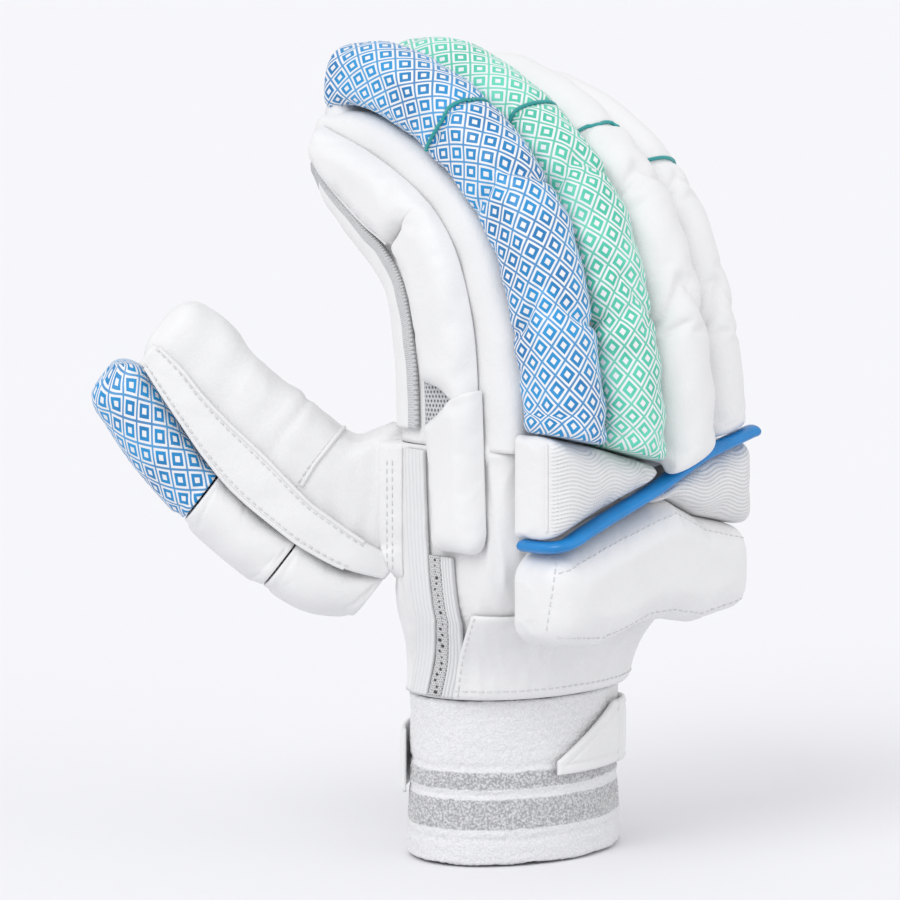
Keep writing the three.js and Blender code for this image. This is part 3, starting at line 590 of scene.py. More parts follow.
def bump(tree, height, strength, distance, normal=None):
    inputs = {"Height": height, "Strength": strength, "Distance": distance}
    if normal is not None:
        inputs["Normal"] = normal
    return node(tree, "ShaderNodeBump", inputs).outputs["Normal"]


WHITE_LEATHER = (0.78, 0.78, 0.785, 1)
SHADED_LEATHER = (0.68, 0.68, 0.69, 1)


def leather_relief(tree, grain=1.0, crease=1.0):
    """Pebbled grain, pores and long soft creases of a soft glove leather."""
    pebble = cells(tree, 1500.0)
    pores = noise(tree, 2600.0, 2.0)
    soft = noise(tree, 210.0, 4.0, 0.6, 0.6)
    first = bump(tree, soft, 0.32 * crease, 0.0009)
    second = bump(tree, pebble, 0.32 * grain, 0.00016, first)
    return bump(tree, pores, 0.18 * grain, 0.00008, second)


def leather(name, tint=WHITE_LEATHER, shade=SHADED_LEATHER, roughness=0.5, grain=1.0, crease=1.0):
    material, tree = new_finish(name, roughness, 0.42, sheen=0.06)
    mottle = ramp(tree, noise(tree, 38.0, 4.0), 0.35, 0.75)
    put(tree, "Base Color", blend_colour(tree, calc(tree, "MULTIPLY", mottle, 0.35), tint, shade))
    rough = ramp(tree, noise(tree, 90.0, 3.0), 0.3, 0.7, roughness - 0.05, roughness + 0.07)
    put(tree, "Roughness", rough)
    put(tree, "Normal", leather_relief(tree, grain, crease))
    return material


def printed_leather(name, deep, light, cell_width=8.0, cell_height=9.2):
    """White leather with a printed diamond trellis and a bold diamond ring in each cell."""
    material, tree = new_finish(name, 0.42, 0.45)
    x, y = pattern_axes(tree)
    across = calc(tree, "DIVIDE", x, cell_width)
    along = calc(tree, "DIVIDE", y, cell_height)
    rising = calc(tree, "PINGPONG", calc(tree, "ADD", across, along), 0.5)
    falling = calc(tree, "PINGPONG", calc(tree, "SUBTRACT", across, along), 0.5)
    inward = calc(tree, "MINIMUM", rising, falling)
    thin = ramp(tree, inward, 0.050, 0.066, 1.0, 0.0)
    ring_in = ramp(tree, inward, 0.170, 0.186, 0.0, 1.0)
    ring_out = ramp(tree, inward, 0.350, 0.366, 1.0, 0.0)
    ring = calc(tree, "MULTIPLY", ring_in, ring_out)
    ink = calc(tree, "MAXIMUM", calc(tree, "MULTIPLY", thin, 0.92), ring)
    patch = ramp(tree, noise(tree, 60.0, 2.0), 0.38, 0.62)
    tone = blend_colour(tree, patch, deep, light)
    put(tree, "Base Color", blend_colour(tree, ink, (0.78, 0.78, 0.79, 1), tone))
    put(tree, "Roughness", ramp(tree, ink, 0.0, 1.0, 0.46, 0.36))
    relief = leather_relief(tree, 0.8, 0.9)
    put(tree, "Normal", bump(tree, ink, 0.25, 0.00008, relief))
    return material


# Waves pressed into the knuckle blocks
WAVE_LENGTH = 18.0
WAVE_SWING = 1.1
WAVE_SPACING = 1.25


def embossed_leather(name):
    """White leather pressed with wavy dotted lines, the pressed lines darkened with painted shade."""
    material, tree = new_finish(name, 0.5, 0.4, sheen=0.05)
    x, y = pattern_axes(tree)
    swing = calc(tree, "SINE", calc(tree, "MULTIPLY", x, 2 * math.pi / WAVE_LENGTH))
    level = calc(tree, "MULTIPLY_ADD", swing, WAVE_SWING, y)
    line = calc(tree, "PINGPONG", calc(tree, "DIVIDE", level, WAVE_SPACING), 0.5)
    dots = calc(tree, "PINGPONG", calc(tree, "DIVIDE", x, 0.8), 0.5)
    pressed = calc(tree, "MULTIPLY", ramp(tree, line, 0.10, 0.28, 1.0, 0.0), ramp(tree, dots, 0.06, 0.22))
    depth = calc(tree, "MULTIPLY", axis_of(tree, "Y"), -1 / MM)
    face = BACK_FACE + BACK_PAD_THICKNESS
    groove_and_painted_shade = calc(tree, "MULTIPLY", pressed, ramp(tree, depth, face - 5.0, face - 3.6))
    mottle = ramp(tree, noise(tree, 38.0, 4.0), 0.35, 0.75)
    base = blend_colour(tree, calc(tree, "MULTIPLY", mottle, 0.3), WHITE_LEATHER, SHADED_LEATHER)
    # Painted shade: the pressed lines on the pad's face are blended towards grey.
    put(tree, "Base Color", blend_colour(tree, calc(tree, "MULTIPLY", groove_and_painted_shade, 0.35), base, (0.6, 0.6, 0.62, 1)))
    relief = leather_relief(tree, 0.9, 0.7)
    put(tree, "Normal", bump(tree, calc(tree, "SUBTRACT", 1.0, groove_and_painted_shade), 0.8, 0.0003, relief))
    return material


def darkened(colour, share):
    return tuple(c * share for c in colour[:3]) + (1,)


def coated_bead(name, colour):
    material, tree = new_finish(name, 0.33, 0.5, coat=0.15)
    tone = ramp(tree, noise(tree, 120.0, 3.0), 0.3, 0.7)
    put(tree, "Base Color", blend_colour(tree, tone, colour, darkened(colour, 0.82)))
    put(tree, "Normal", bump(tree, noise(tree, 900.0, 3.0), 0.25, 0.0001))
    return material


def towelling(name, stripes):
    """Looped knit: short loops in rows, with grey stripes between given heights, and painted shade between the loops.
    """
    material, tree = new_finish(name, 0.93, 0.15, sheen=0.35)
    height = calc(tree, "MULTIPLY", axis_of(tree, "Z"), 1000.0)
    wander = calc(tree, "MULTIPLY", calc(tree, "SUBTRACT", noise(tree, 420.0, 2.0), 0.5), 1.2)
    level = calc(tree, "ADD", height, wander)
    grey = 0.0
    for low, high in stripes:
        above = ramp(tree, level, low - 0.25, low + 0.25)
        inside = calc(tree, "MULTIPLY", above, ramp(tree, level, high - 0.25, high + 0.25, 1, 0))
        grey = calc(tree, "MAXIMUM", grey, inside)
    loops = cells(tree, 1150.0)
    fuzz = noise(tree, 1900.0, 3.0)
    fleck = ramp(tree, noise(tree, 1300.0, 2.0), 0.40, 0.62)
    # Painted shade: the white is darker away from each loop's middle, where the relief sinks.
    white = blend_colour(tree, ramp(tree, loops, 0.2, 0.8), (0.80, 0.80, 0.81, 1), (0.72, 0.72, 0.735, 1))
    dull = blend_colour(tree, fleck, (0.36, 0.36, 0.375, 1), (0.66, 0.66, 0.67, 1))
    put(tree, "Base Color", blend_colour(tree, grey, white, dull))
    relief = bump(tree, calc(tree, "SUBTRACT", 1.0, loops), 0.75, 0.00035)
    put(tree, "Normal", bump(tree, fuzz, 0.6, 0.00025, relief))
    return material


def air_mesh(name, hole_pitch=1.5, light=(0.62, 0.63, 0.65, 1), painted_hole_shade=(0.16, 0.165, 0.175, 1)):
    """Knitted air mesh: round holes in staggered rows, filled with painted shade."""
    material, tree = new_finish(name, 0.85, 0.2, sheen=0.2)
    x, y = pattern_axes(tree)
    row = calc(tree, "DIVIDE", y, hole_pitch * 0.866)
    odd = calc(tree, "MULTIPLY", calc(tree, "MODULO", calc(tree, "FLOOR", row), 2.0), 0.5)
    dy = calc(tree, "MULTIPLY", calc(tree, "SUBTRACT", calc(tree, "FRACT", row), 0.5), 0.866)
    stagger = calc(tree, "ADD", calc(tree, "DIVIDE", x, hole_pitch), odd)
    dx = calc(tree, "SUBTRACT", calc(tree, "FRACT", stagger), 0.5)
    far = calc(tree, "SQRT", calc(tree, "ADD", calc(tree, "MULTIPLY", dx, dx), calc(tree, "MULTIPLY", dy, dy)))
    hole = ramp(tree, far, 0.20, 0.32, 1.0, 0.0)
    yarn = blend_colour(tree, noise(tree, 1500.0, 2.0), light, darkened(light, 0.8))
    # The holes get a dark colour: painted shade inside them.
    put(tree, "Base Color", blend_colour(tree, hole, yarn, painted_hole_shade))
    relief = bump(tree, calc(tree, "SUBTRACT", 1.0, hole), 0.9, 0.0004)
    put(tree, "Normal", bump(tree, noise(tree, 2400.0, 2.0), 0.4, 0.0001, relief))
    return material


def edged_mesh(name, band=5.6, tip=139.0):
    """Air mesh along one edge and at the tip, smooth white fabric beside it."""
    material = air_mesh(name, 1.05, (0.73, 0.735, 0.745, 1), (0.52, 0.525, 0.535, 1))
    tree = material.node_tree
    inputs = tree.nodes["Principled BSDF"].inputs
    x, y = pattern_axes(tree)
    beside = ramp(tree, x, band - 0.2, band + 0.2)
    below = ramp(tree, y, tip - 0.3, tip + 0.3, 1.0, 0.0)
    plain = calc(tree, "MULTIPLY", beside, below)
    colour = inputs["Base Color"].links[0].from_socket
    relief = inputs["Normal"].links[0].from_socket
    put(tree, "Base Color", blend_colour(tree, plain, colour, WHITE_LEATHER))
    smoother = node(tree, "ShaderNodeMix", {0: plain, 4: relief, 5: leather_relief(tree, 0.8, 0.8)}, data_type="VECTOR")
    put(tree, "Normal", smoother.outputs[1])
    return material


def ribbed_tape(name, pitch=1.3, contrast=0.55):
    """Woven tape with fine cords along its length, with painted shade between the cords."""
    material, tree = new_finish(name, 0.75, 0.25, sheen=0.15)
    x, y = pattern_axes(tree)
    cord = calc(tree, "PINGPONG", calc(tree, "DIVIDE", x, pitch), 0.5)
    weft = calc(tree, "PINGPONG", calc(tree, "DIVIDE", y, 0.55), 0.5)
    # Painted shade: the tape is darker in the grooves between the cords, by the given contrast.
    shade = calc(tree, "MULTIPLY", ramp(tree, cord, 0.05, 0.3, 1.0, 0.0), contrast)
    put(tree, "Base Color", blend_colour(tree, shade, (0.74, 0.745, 0.75, 1), (0.45, 0.455, 0.47, 1)))
    relief = bump(tree, cord, 0.8, 0.0005)
    second = bump(tree, weft, 0.35, 0.00015, relief)
    put(tree, "Normal", bump(tree, noise(tree, 2000.0, 2.0), 0.3, 0.0001, second))
    return material


def thread(name, colour):
    material, tree = new_finish(name, 0.6, 0.3, sheen=0.2)
    put(tree, "Base Color", blend_colour(tree, noise(tree, 900.0, 2.0), colour, darkened(colour, 0.8)))
    twist = node(tree, "ShaderNodeTexWave", {"Vector": place_on(tree), "Scale": 900.0, "Distortion": 1.0})
    put(tree, "Normal", bump(tree, twist.outputs["Fac"], 0.4, 0.0001))
    return material


FINISH = {
    "soft": leather("white_glove_leather"),
    "taut": leather("white_pad_leather", roughness=0.46, grain=0.8, crease=0.7),
    "palm": leather("palm_leather", roughness=0.62, grain=1.3, crease=1.3),
    "blue": printed_leather("blue_trellis_leather", (0.005, 0.165, 0.420, 1), (0.012, 0.285, 0.620, 1)),
    "mint": printed_leather("mint_trellis_leather", (0.060, 0.500, 0.350, 1), (0.120, 0.620, 0.450, 1)),
    "embossed": embossed_leather("wave_embossed_leather"),
    "bead": coated_bead("blue_bead", (0.0, 0.225, 0.600, 1)),
    "teal": coated_bead("teal_seam_cord", (0.012, 0.330, 0.330, 1)),
    "knit": towelling("towelling_knit", ((12.0, 21.8), (25.2, 30.9))),
    # These three mesh finishes paint their holes darker as painted shade.
    "mesh": air_mesh("grey_air_mesh"),
    "edged": edged_mesh("edged_air_mesh"),
    "speckled": air_mesh("speckled_tape", 0.9, (0.71, 0.71, 0.72, 1), (0.42, 0.42, 0.43, 1)),
    "rib": ribbed_tape("fine_ribbed_tape", 1.7, 0.22),
    "tape": ribbed_tape("ribbed_tape"),
    "thread": thread("white_thread", (0.74, 0.74, 0.75, 1)),
    "hole": leather("hole_shadow", (0.05, 0.05, 0.055, 1), (0.03, 0.03, 0.035, 1)),
}


def finish_piece(obj, look, *nodes, slot="white_leather", fill=None):
    """Gives a piece its finish and its body, and hides the plain solids that it stands for. The slot is not used."""
    obj.data.materials.clear()
    obj.data.materials.append(FINISH[look])
    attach(obj, "root")
    if nodes:
        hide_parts(*nodes)
    return obj


def made_plain(obj):
    """Puts an object's evaluated result in place of its mesh and drops its modifiers."""
    bpy.context.view_layer.update()
    graph = bpy.context.evaluated_depsgraph_get()
    mesh = bpy.data.meshes.new_from_object(obj.evaluated_get(graph))
    old = obj.data
    obj.modifiers.clear()
    obj.data = mesh
    mesh.name = obj.name
    bpy.data.meshes.remove(old)
    mesh.polygons.foreach_set("use_smooth", [True] * len(mesh.polygons))
    return obj


def subdivided(obj, levels=1):
    step = obj.modifiers.new("finer", "SUBSURF")
    step.levels = levels
    step.render_levels = levels
    return made_plain(obj)


# Padding: pressed out from inside as cloth, then held to the room it has
PUFF_SCALE = 20.0
PUFF_FRAMES = 16
CLOTH = {
    "quality": 5, "mass": 0.25, "tension_stiffness": 12, "compression_stiffness": 12, "shear_stiffness": 5,
    "bending_stiffness": 0.6, "air_damping": 4, "vertex_group_mass": "held", "use_pressure": True,
}
PADS = []
# How wide a sewn line is held down
HELD_BAND = 1.1


def plan_pad(name, points, faces, held, room, cap=2.0, pressure=4.0, slack=-0.02, **extra):
    """Notes a padded piece for the common inflation. room(points) keeps it off its neighbours."""
    pad = dict(name=name, points=points, faces=faces, held=held, room=room, **extra)
    PADS.append(pad | dict(cap=cap, pressure=pressure, slack=slack))


def inflate_pads():
    trial = []
    for pad in PADS:
        obj = mesh_from("puff_" + pad["name"], pad["points"] * PUFF_SCALE, pad["faces"])
        group = obj.vertex_groups.new(name="held")
        for index in np.nonzero(pad["held"] > 0.02)[0]:
            group.add([int(index)], float(pad["held"][index]), "REPLACE")
        cloth = obj.modifiers.new("Cloth", "CLOTH")
        settings = cloth.settings
        for key, value in CLOTH.items():
            setattr(settings, key, value)
        settings.uniform_pressure_force = pad["pressure"]
        settings.shrink_min = pad["slack"]
        settings.effector_weights.gravity = 0
        cloth.point_cache.frame_start = 1
        cloth.point_cache.frame_end = PUFF_FRAMES + 1
        trial.append((pad, obj))
    scene = bpy.context.scene
    for step in range(1, PUFF_FRAMES + 1):
        scene.frame_set(step)
    graph = bpy.context.evaluated_depsgraph_get()
    for pad, obj in trial:
        mesh = obj.evaluated_get(graph).to_mesh()
        flat = np.empty(len(mesh.vertices) * 3, dtype=np.float32)
        mesh.vertices.foreach_get("co", flat)
        moved = flat.reshape(-1, 3).astype(float) / MM / PUFF_SCALE - pad["points"]
        far = np.linalg.norm(moved, axis=1, keepdims=True)
        moved *= np.minimum(1.0, pad["cap"] / np.maximum(far, 1e-6))
        pad["points"] = pad["points"] + moved
    for _, obj in trial:
        data = obj.data
        bpy.data.objects.remove(obj)
        bpy.data.meshes.remove(data)
    scene.frame_set(1)


def finish_pads():
    made = {}
    for pad in PADS:
        points = pad["room"](pad["points"])
        obj = mesh_from(pad["name"], points, pad["faces"], pad.get("uv"), pad.get("face_uv"))
        subdivided(obj)
        finish_piece(obj, pad["look"], pad["node"], slot=pad.get("slot", "white_leather"), fill=pad["fill"])
        made[pad["name"]] = obj
    return made


# Finger rolls
ROLL_ROWS = 124
# The roll's foot: height above its seat, and how much of its section is there
ROLL_FOOT = ((0.7, 0.84), (1.6, 0.93), (3.2, 0.985), (5.5, 1.0))
ROLL_COLUMNS = 44
TIP_STEPS = np.array([0.2, 0.4, 0.58, 0.74, 0.87, 0.96])
TIP_END = 0.3


def tip_steps(reach, end=TIP_END):
    """How far ahead each step of a rounded tip lies, and how much of the section is left there."""
    return [(math.sin(t * math.pi / 2) * reach, mix(end, 1, math.cos(t * math.pi / 2))) for t in TIP_STEPS]


# Creases across a roll: place along it, how far its arms drop, depth and half width
ROLL_CREASES = [
    {"place": 0.325, "drop": 16.0, "depth": 2.1, "width": 3.0},
    {"place": 0.525, "drop": 8.0, "depth": 2.1, "width": 2.8},
]
# Where the crease's top lies across each roll, and the joint with its cord along each
CREASE_APEX = {"index": -12.0, "middle": -4.0, "ring": -1.0, "little": 2.0}
JOINT_PLACE = {"index": 0.67, "middle": 0.65, "ring": 0.625, "little": 0.565}


def roll_seat(x):
    on_pad = x < INNER_PAD_END * BACK_PAD_WIDTH
    return np.where(on_pad, back_line("knuckle_top")(x), back_line("pipe")(x) + PIPING_WIDTH / 2)


def roll_ring(finger, share, left, ahead=0.0, count=160):
    half = (FINGER_PITCH * finger["width"] - 2 * GAP) / 2 * left
    angle = turns(count, math.pi / 2)
    middle = ROLL_THICKNESS / 2
    near = mix(middle, 0.0, left)
    far = mix(middle, ROLL_THICKNESS - 2 * GAP, left)
    return finger_section(finger, share, half, near, far, angle, (2.6, 7.0), ahead)


def roll_grid(finger):
    rings = []
    for above, left in ROLL_FOOT:
        ring = roll_ring(finger, 0.02, left)
        ring[:, 2] = roll_seat(ring[:, 0]) + above
        rings.append(ring)
    rings += [roll_ring(finger, share, 1.0) for share in np.linspace(0.14, 1.0, 26)]
    rings += [roll_ring(finger, 1.0, left, ahead) for ahead, left in tip_steps(ROLL_END)]
    shares = np.concatenate([[0, 0.004, 0.01], np.linspace(0.018, 0.975, ROLL_ROWS), [0.983, 0.99, 0.995, 1.0]])
    return spline_tube(rings, ROLL_COLUMNS, shares)


def crease_level(crease, across, half):
    """How far a crease's line lies from its place, at a distance across the roll."""
    return -crease["drop"] * (1 - dip(np.abs(across), half * 0.62, 1.3))


def joint_level(across):
    """The joint's cord runs straight over the back and leans down the roll's sides."""
    return -3.0 * smooth(4.0, 22.0, np.abs(across))


def roll_length_at(finger, grid, place):
    """Length along the roll's middle where the finger's curl reaches a place."""
    target = finger_points(finger, np.array(place), 0.0, 0.0)
    middle = grid[:, grid.shape[1] // 2]
    uv = tube_uv(grid)
    return uv[np.argmin(np.linalg.norm(middle - target, axis=1)), 0, 1]


def roll_piece(finger, number, look, slot):
    grid = roll_grid(finger)
    uv, u, v, girth = tube_map(grid)
    half = FINGER_PITCH * finger["width"] / 2
    sink = np.zeros_like(u)
    held = np.zeros_like(u)
    on_faces = 1 - smooth(0.34, 0.4, np.abs(u) / girth)
    for crease in ROLL_CREASES:
        apex = CREASE_APEX[finger["name"]]
        level = roll_length_at(finger, grid, crease["place"]) + crease_level(crease, u - apex, half)
        off = np.abs(v - level)
        wide = dip(off, crease["width"], 1.4)
        fine = dip(off, crease["width"] * 0.4, 1.3)
        sink += crease["depth"] * (0.55 * wide + 0.45 * fine) * on_faces
        held = np.maximum(held, dip(off, HELD_BAND) * on_faces)
    joint = np.abs(v - roll_length_at(finger, grid, JOINT_PLACE[finger["name"]]) - joint_level(u))
    sink += 1.3 * dip(joint, 2.2, 1.4) * on_faces
    held = np.maximum(held, dip(joint, HELD_BAND) * on_faces)
    normals = grid_normals(grid)
    start = grid - normals * (sink + 0.45 + 0.45 * lumps(grid, 14, 20 + number))[..., None] * smooth(0, 5, v)[..., None]
    flat_side = smooth(0.36, 0.42, np.abs(u) / girth)
    ends = 1 - smooth(1.0, 4.0, np.minimum(v, v.max() - v))
    held = np.clip(np.maximum.reduce([held, flat_side, ends]), 0, 1)
    limit = (FINGER_PITCH * finger["width"] - 2 * GAP) / 2 + 0.1
    centre_x = finger_x(finger)
    clean = tube(grid)[0]
    outward = with_ends(normals, 0)
    flat = with_ends(flat_side, 0)

    def room(p):
        out = p.copy()
        out[:, 0] = clamp(out[:, 0], centre_x - limit, centre_x + limit)
        rise = np.sum((out - clean) * outward, axis=1)
        out -= outward * np.maximum(rise - 1.2, 0)[:, None]
        back_in = np.maximum(np.sum((out - clean) * outward, axis=1), 0) * flat
        return out - outward * back_in[:, None]

    plan_pad(
        finger["name"] + "_finger_roll", *tube(start), with_ends(held, 1), room, cap=2.2, pressure=5.0, slack=-0.03,
        face_uv=tube_face_uv(uv), look=look, slot=slot, node=finger["name"] + "_roll", fill=0.8,
    )
    return grid, uv


# Finger stalls; how square their sections are on the back and on the palm
STALL_POWERS = (5.0, 4.0)
# Creases on the palm of a stall: share of its length, depth
STALL_CREASES = ((0.30, 1.6), (0.52, 2.2), (0.72, 1.8))
STALL_COLUMNS = 52


def stall_ring(finger, share, inset, near, far, left=1.0, ahead=0.0, count=160):
    depth = curl(finger, share)[4]
    low = near if not callable(near) else near(depth)
    high = far(depth)
    middle = (low + high) / 2
    low = mix(middle, low, left)
    high = mix(middle, high, left)
    half = (stall_half(finger) - inset) * mix(0.3, 1, left)
    angle = turns(count, -math.pi / 2)
    return finger_section(finger, share, half, low, high, angle, STALL_POWERS, ahead)


def stall_grid(finger, inset, near, far, reach, rows):
    rings = []
    for z in (HAND_TOP + GAP, KNUCKLE_PAD_TOP + PAD_ROUNDING + 1):
        ring = stall_ring(finger, 0.06, inset, near, far)
        ring[:, 1] = np.maximum(ring[:, 1], -HAND_BACK)
        ring[:, 2] = z
        rings.append(ring)
    for share in np.linspace(0.18, 1.0, 22):
        if curl(finger, share)[1] > HAND_TOP + 4:
            rings.append(stall_ring(finger, share, inset, near, far))
    rings += [stall_ring(finger, 1.0, inset, near, far, left, ahead) for ahead, left in tip_steps(reach, 0.4)]
    return spline_tube(rings, STALL_COLUMNS, even(rows))


def stall_piece(finger, number):
    outer = stall_grid(finger, 0.0, ROLL_THICKNESS, lambda depth: depth, STALL_END, 84)
    inner = stall_grid(
        finger, LEATHER, lambda depth: depth - LEATHER - STALL_BORE_DEPTH, lambda depth: depth - LEATHER,
        STALL_END - LEATHER, 24,
    )
    _, u, v, girth = tube_map(outer)
    on_palm = 1 - smooth(0.16, 0.3, np.abs(u) / girth)
    sink = 0.25 + 0.35 * lumps(outer, 20, 50 + number)
    for place, depth in STALL_CREASES:
        off = np.abs(v - place * v.max() + 1.5 * lumps(outer, 12, 60 + number))
        sink = sink + depth * dip(off, 2.6, 1.5) * on_palm
    fade = smooth(0, 5, v) * (1 - smooth(-3, 0, v - v.max()))
    outer = sunk(outer, np.maximum(sink, 0) * fade)
    obj = mesh_from(finger["name"] + "_finger_stall", *tube(np.concatenate([outer[::-1], inner])))
    finish_piece(obj, "soft" if finger is INDEX else "palm", finger["name"] + "_stall")


# Hand body
def hand_piece():
    columns = 128
    angle = turns(columns)
    shares = np.linspace(0, 1, 60)[:, None]
    outer = body_points(shares, angle[None, :])
    inner = body_points(shares[::-1], angle[None, :], -LEATHER, BACK_PADDING - LEATHER)
    thumb_side = smooth(-30, -44, outer[..., 0])
    wrist = 1 - smooth(60, 84, outer[..., 2])
    creases = 0.8 * lumps(outer * np.array([1, 1, 0.45]), 9, 3) * thumb_side
    gathers = 0.9 * lumps(outer * np.array([1, 1, 0.25]), 7, 4) * wrist
    fade = smooth(0, 3, outer[..., 2] - HAND_BASE) * (1 - smooth(-4, 0, outer[..., 2] - HAND_TOP))
    outer = sunk(outer, (0.25 + np.abs(creases) + np.abs(gathers)) * fade)
    grid = np.concatenate([outer, inner])
    obj = mesh_from("hand_leather", grid.reshape(-1, 3), tube_faces(*grid.shape[:2], closed_rows=True))
    tool = mesh_from("thumb_way", *tube(thumb_bore(-0.2)))
    cut = obj.modifiers.new("thumb opening", "BOOLEAN")
    cut.operation = "DIFFERENCE"
    cut.solver = "EXACT"
    cut.object = tool
    made_plain(obj)
    bpy.data.objects.remove(tool)
    return finish_piece(obj, "soft", "hand_shell")


# Thumb
THUMB_ALONG = unit(np.array([-0.56, 0.56, 0.61]))
THUMB_ACROSS = np.array([-0.68, -0.72, 0.05])
THUMB_ACROSS = unit(THUMB_ACROSS - THUMB_ALONG * THUMB_ACROSS.dot(THUMB_ALONG))
THUMB_FRONT = np.cross(THUMB_ACROSS, THUMB_ALONG)


def thumb_at(name, along):
    return column(THUMB, "along", name, along)


def thumb_points(along, front, across):
    along, front, across = np.broadcast_arrays(along, front, across)
    return (
        THUMB_ORIGIN
        + THUMB_ALONG * (along * THUMB_LENGTH)[..., None]
        + THUMB_FRONT * front[..., None]
        + THUMB_ACROSS * across[..., None]
    )


def thumb_half(along):
    return THUMB_WIDTH / 2 * thumb_at("width", along)


def thumb_pad_base(along):
    lowest = np.minimum(thumb_at("front", along), thumb_at("strip_base", along) + THUMB_PAD_PROUD)
    return lowest * THUMB_DEPTH - THUMB_PAD_THICKNESS


def section(along, low, high, half, angle, low_power, high_power, ahead=0.0):
    c, s = squircle(angle, np.where(np.sin(angle) < 0, low_power, high_power))
    return thumb_points(along + ahead / THUMB_LENGTH, (low + high) / 2 + (high - low) / 2 * s, half * c)


def outside_from(at, start, stop=0.5):
    """First place along the thumb, for each angle, where at(place) leaves the hand body."""
    places = np.linspace(start, stop, 240)
    inside = np.stack([in_hand(at(p)) for p in places])
    last_inside = np.where(inside.any(axis=0), len(places) - 1 - np.argmax(inside[::-1], axis=0), -1)
    return places[np.minimum(last_inside + 1, len(places) - 1)]


def thumb_bore_ring(along, angle):
    low = np.maximum(thumb_at("palm", along), BALL_OF_THUMB) * THUMB_DEPTH + LEATHER
    half = thumb_half(along) - LEATHER - THUMB_BORE_EASE
    return section(along, low, low + THUMB_BORE_HEIGHT, half, angle, 3.0, 3.0)


def thumb_bore(start, columns=36):
    places = (start, -0.05, 0.1, 0.22, 0.4, 0.6, THUMB_BORE_END)
    return np.array([thumb_bore_ring(along, turns(columns)) for along in places])


def thumb_stall_section(along, angle, left=1.0, ahead=0.0, inset=0.0):
    low = thumb_at("palm", along) * THUMB_DEPTH + inset
    high = thumb_pad_base(along) - inset
    middle = (low + high) / 2
    half = thumb_half(along) * mix(0.25, 1, left) - inset
    return section(along, mix(middle, low, left), mix(middle, high, left), half, angle, 3.0, 5.0, ahead)


def thumb_stall_piece():
    columns = 72
    angle = turns(columns, -math.pi / 2)
    start = outside_from(lambda p: thumb_stall_section(p, angle), -0.14)
    rows = [thumb_stall_section(mix(start, THUMB_END, t), angle) for t in even(70)]
    rows += [thumb_stall_section(THUMB_END, angle, left, ahead) for ahead, left in tip_steps(THUMB_STALL_END, 0.35)]
    outer = np.array(rows)

    bore_start = outside_from(lambda p: thumb_bore_ring(p, angle), -0.2)
    inner = np.array([thumb_bore_ring(mix(bore_start, THUMB_BORE_END, t), angle) for t in even(16)])
    v = tube_map(outer)[2]
    along = ((outer - THUMB_ORIGIN) @ THUMB_ALONG) / THUMB_LENGTH
    seam = dip((along - 0.42 - 0.004 * lumps(outer, 10, 71)) * THUMB_LENGTH, 1.6)
    web = smooth(0.3, 0.02, along)
    sink = 0.3 + 0.6 * lumps(outer, 15, 72) + 1.0 * seam + 1.4 * web * np.abs(lumps(outer * [1, 1, 0.4], 7, 73))
    fade = smooth(0, 5, v) * (1 - smooth(-3, 0, v - v.max()))
    grid = np.concatenate([sunk(outer, np.maximum(sink, 0) * fade)[::-1], inner])
    return finish_piece(mesh_from("thumb_leather", *tube(grid)), "soft", "thumb_stall", "thumb_back")


THUMB_PADS = [
    {"name": "thumb_tip_pad", "from": 0.505, "to": 0.9, "look": "blue", "slot": "blue_print_leather", "seed": 81},
    {"name": "thumb_middle_pad", "from": 0.17, "to": 0.5, "look": "taut", "slot": "white_leather", "seed": 82},
    {"name": "thumb_base_pad", "from": -0.13, "to": 0.165, "look": "taut", "slot": "white_leather", "seed": 83},
]


# Near a thumb pad's ends: place along it, and how much of its section is there
THUMB_PAD_FOOT = ((0, 0.965), (0.006, 0.98), (0.02, 0.993), (0.05, 1.0))
THUMB_PAD_HEAD = ((0.95, 1.0), (0.98, 0.993), (0.994, 0.98), (1.0, 0.965))


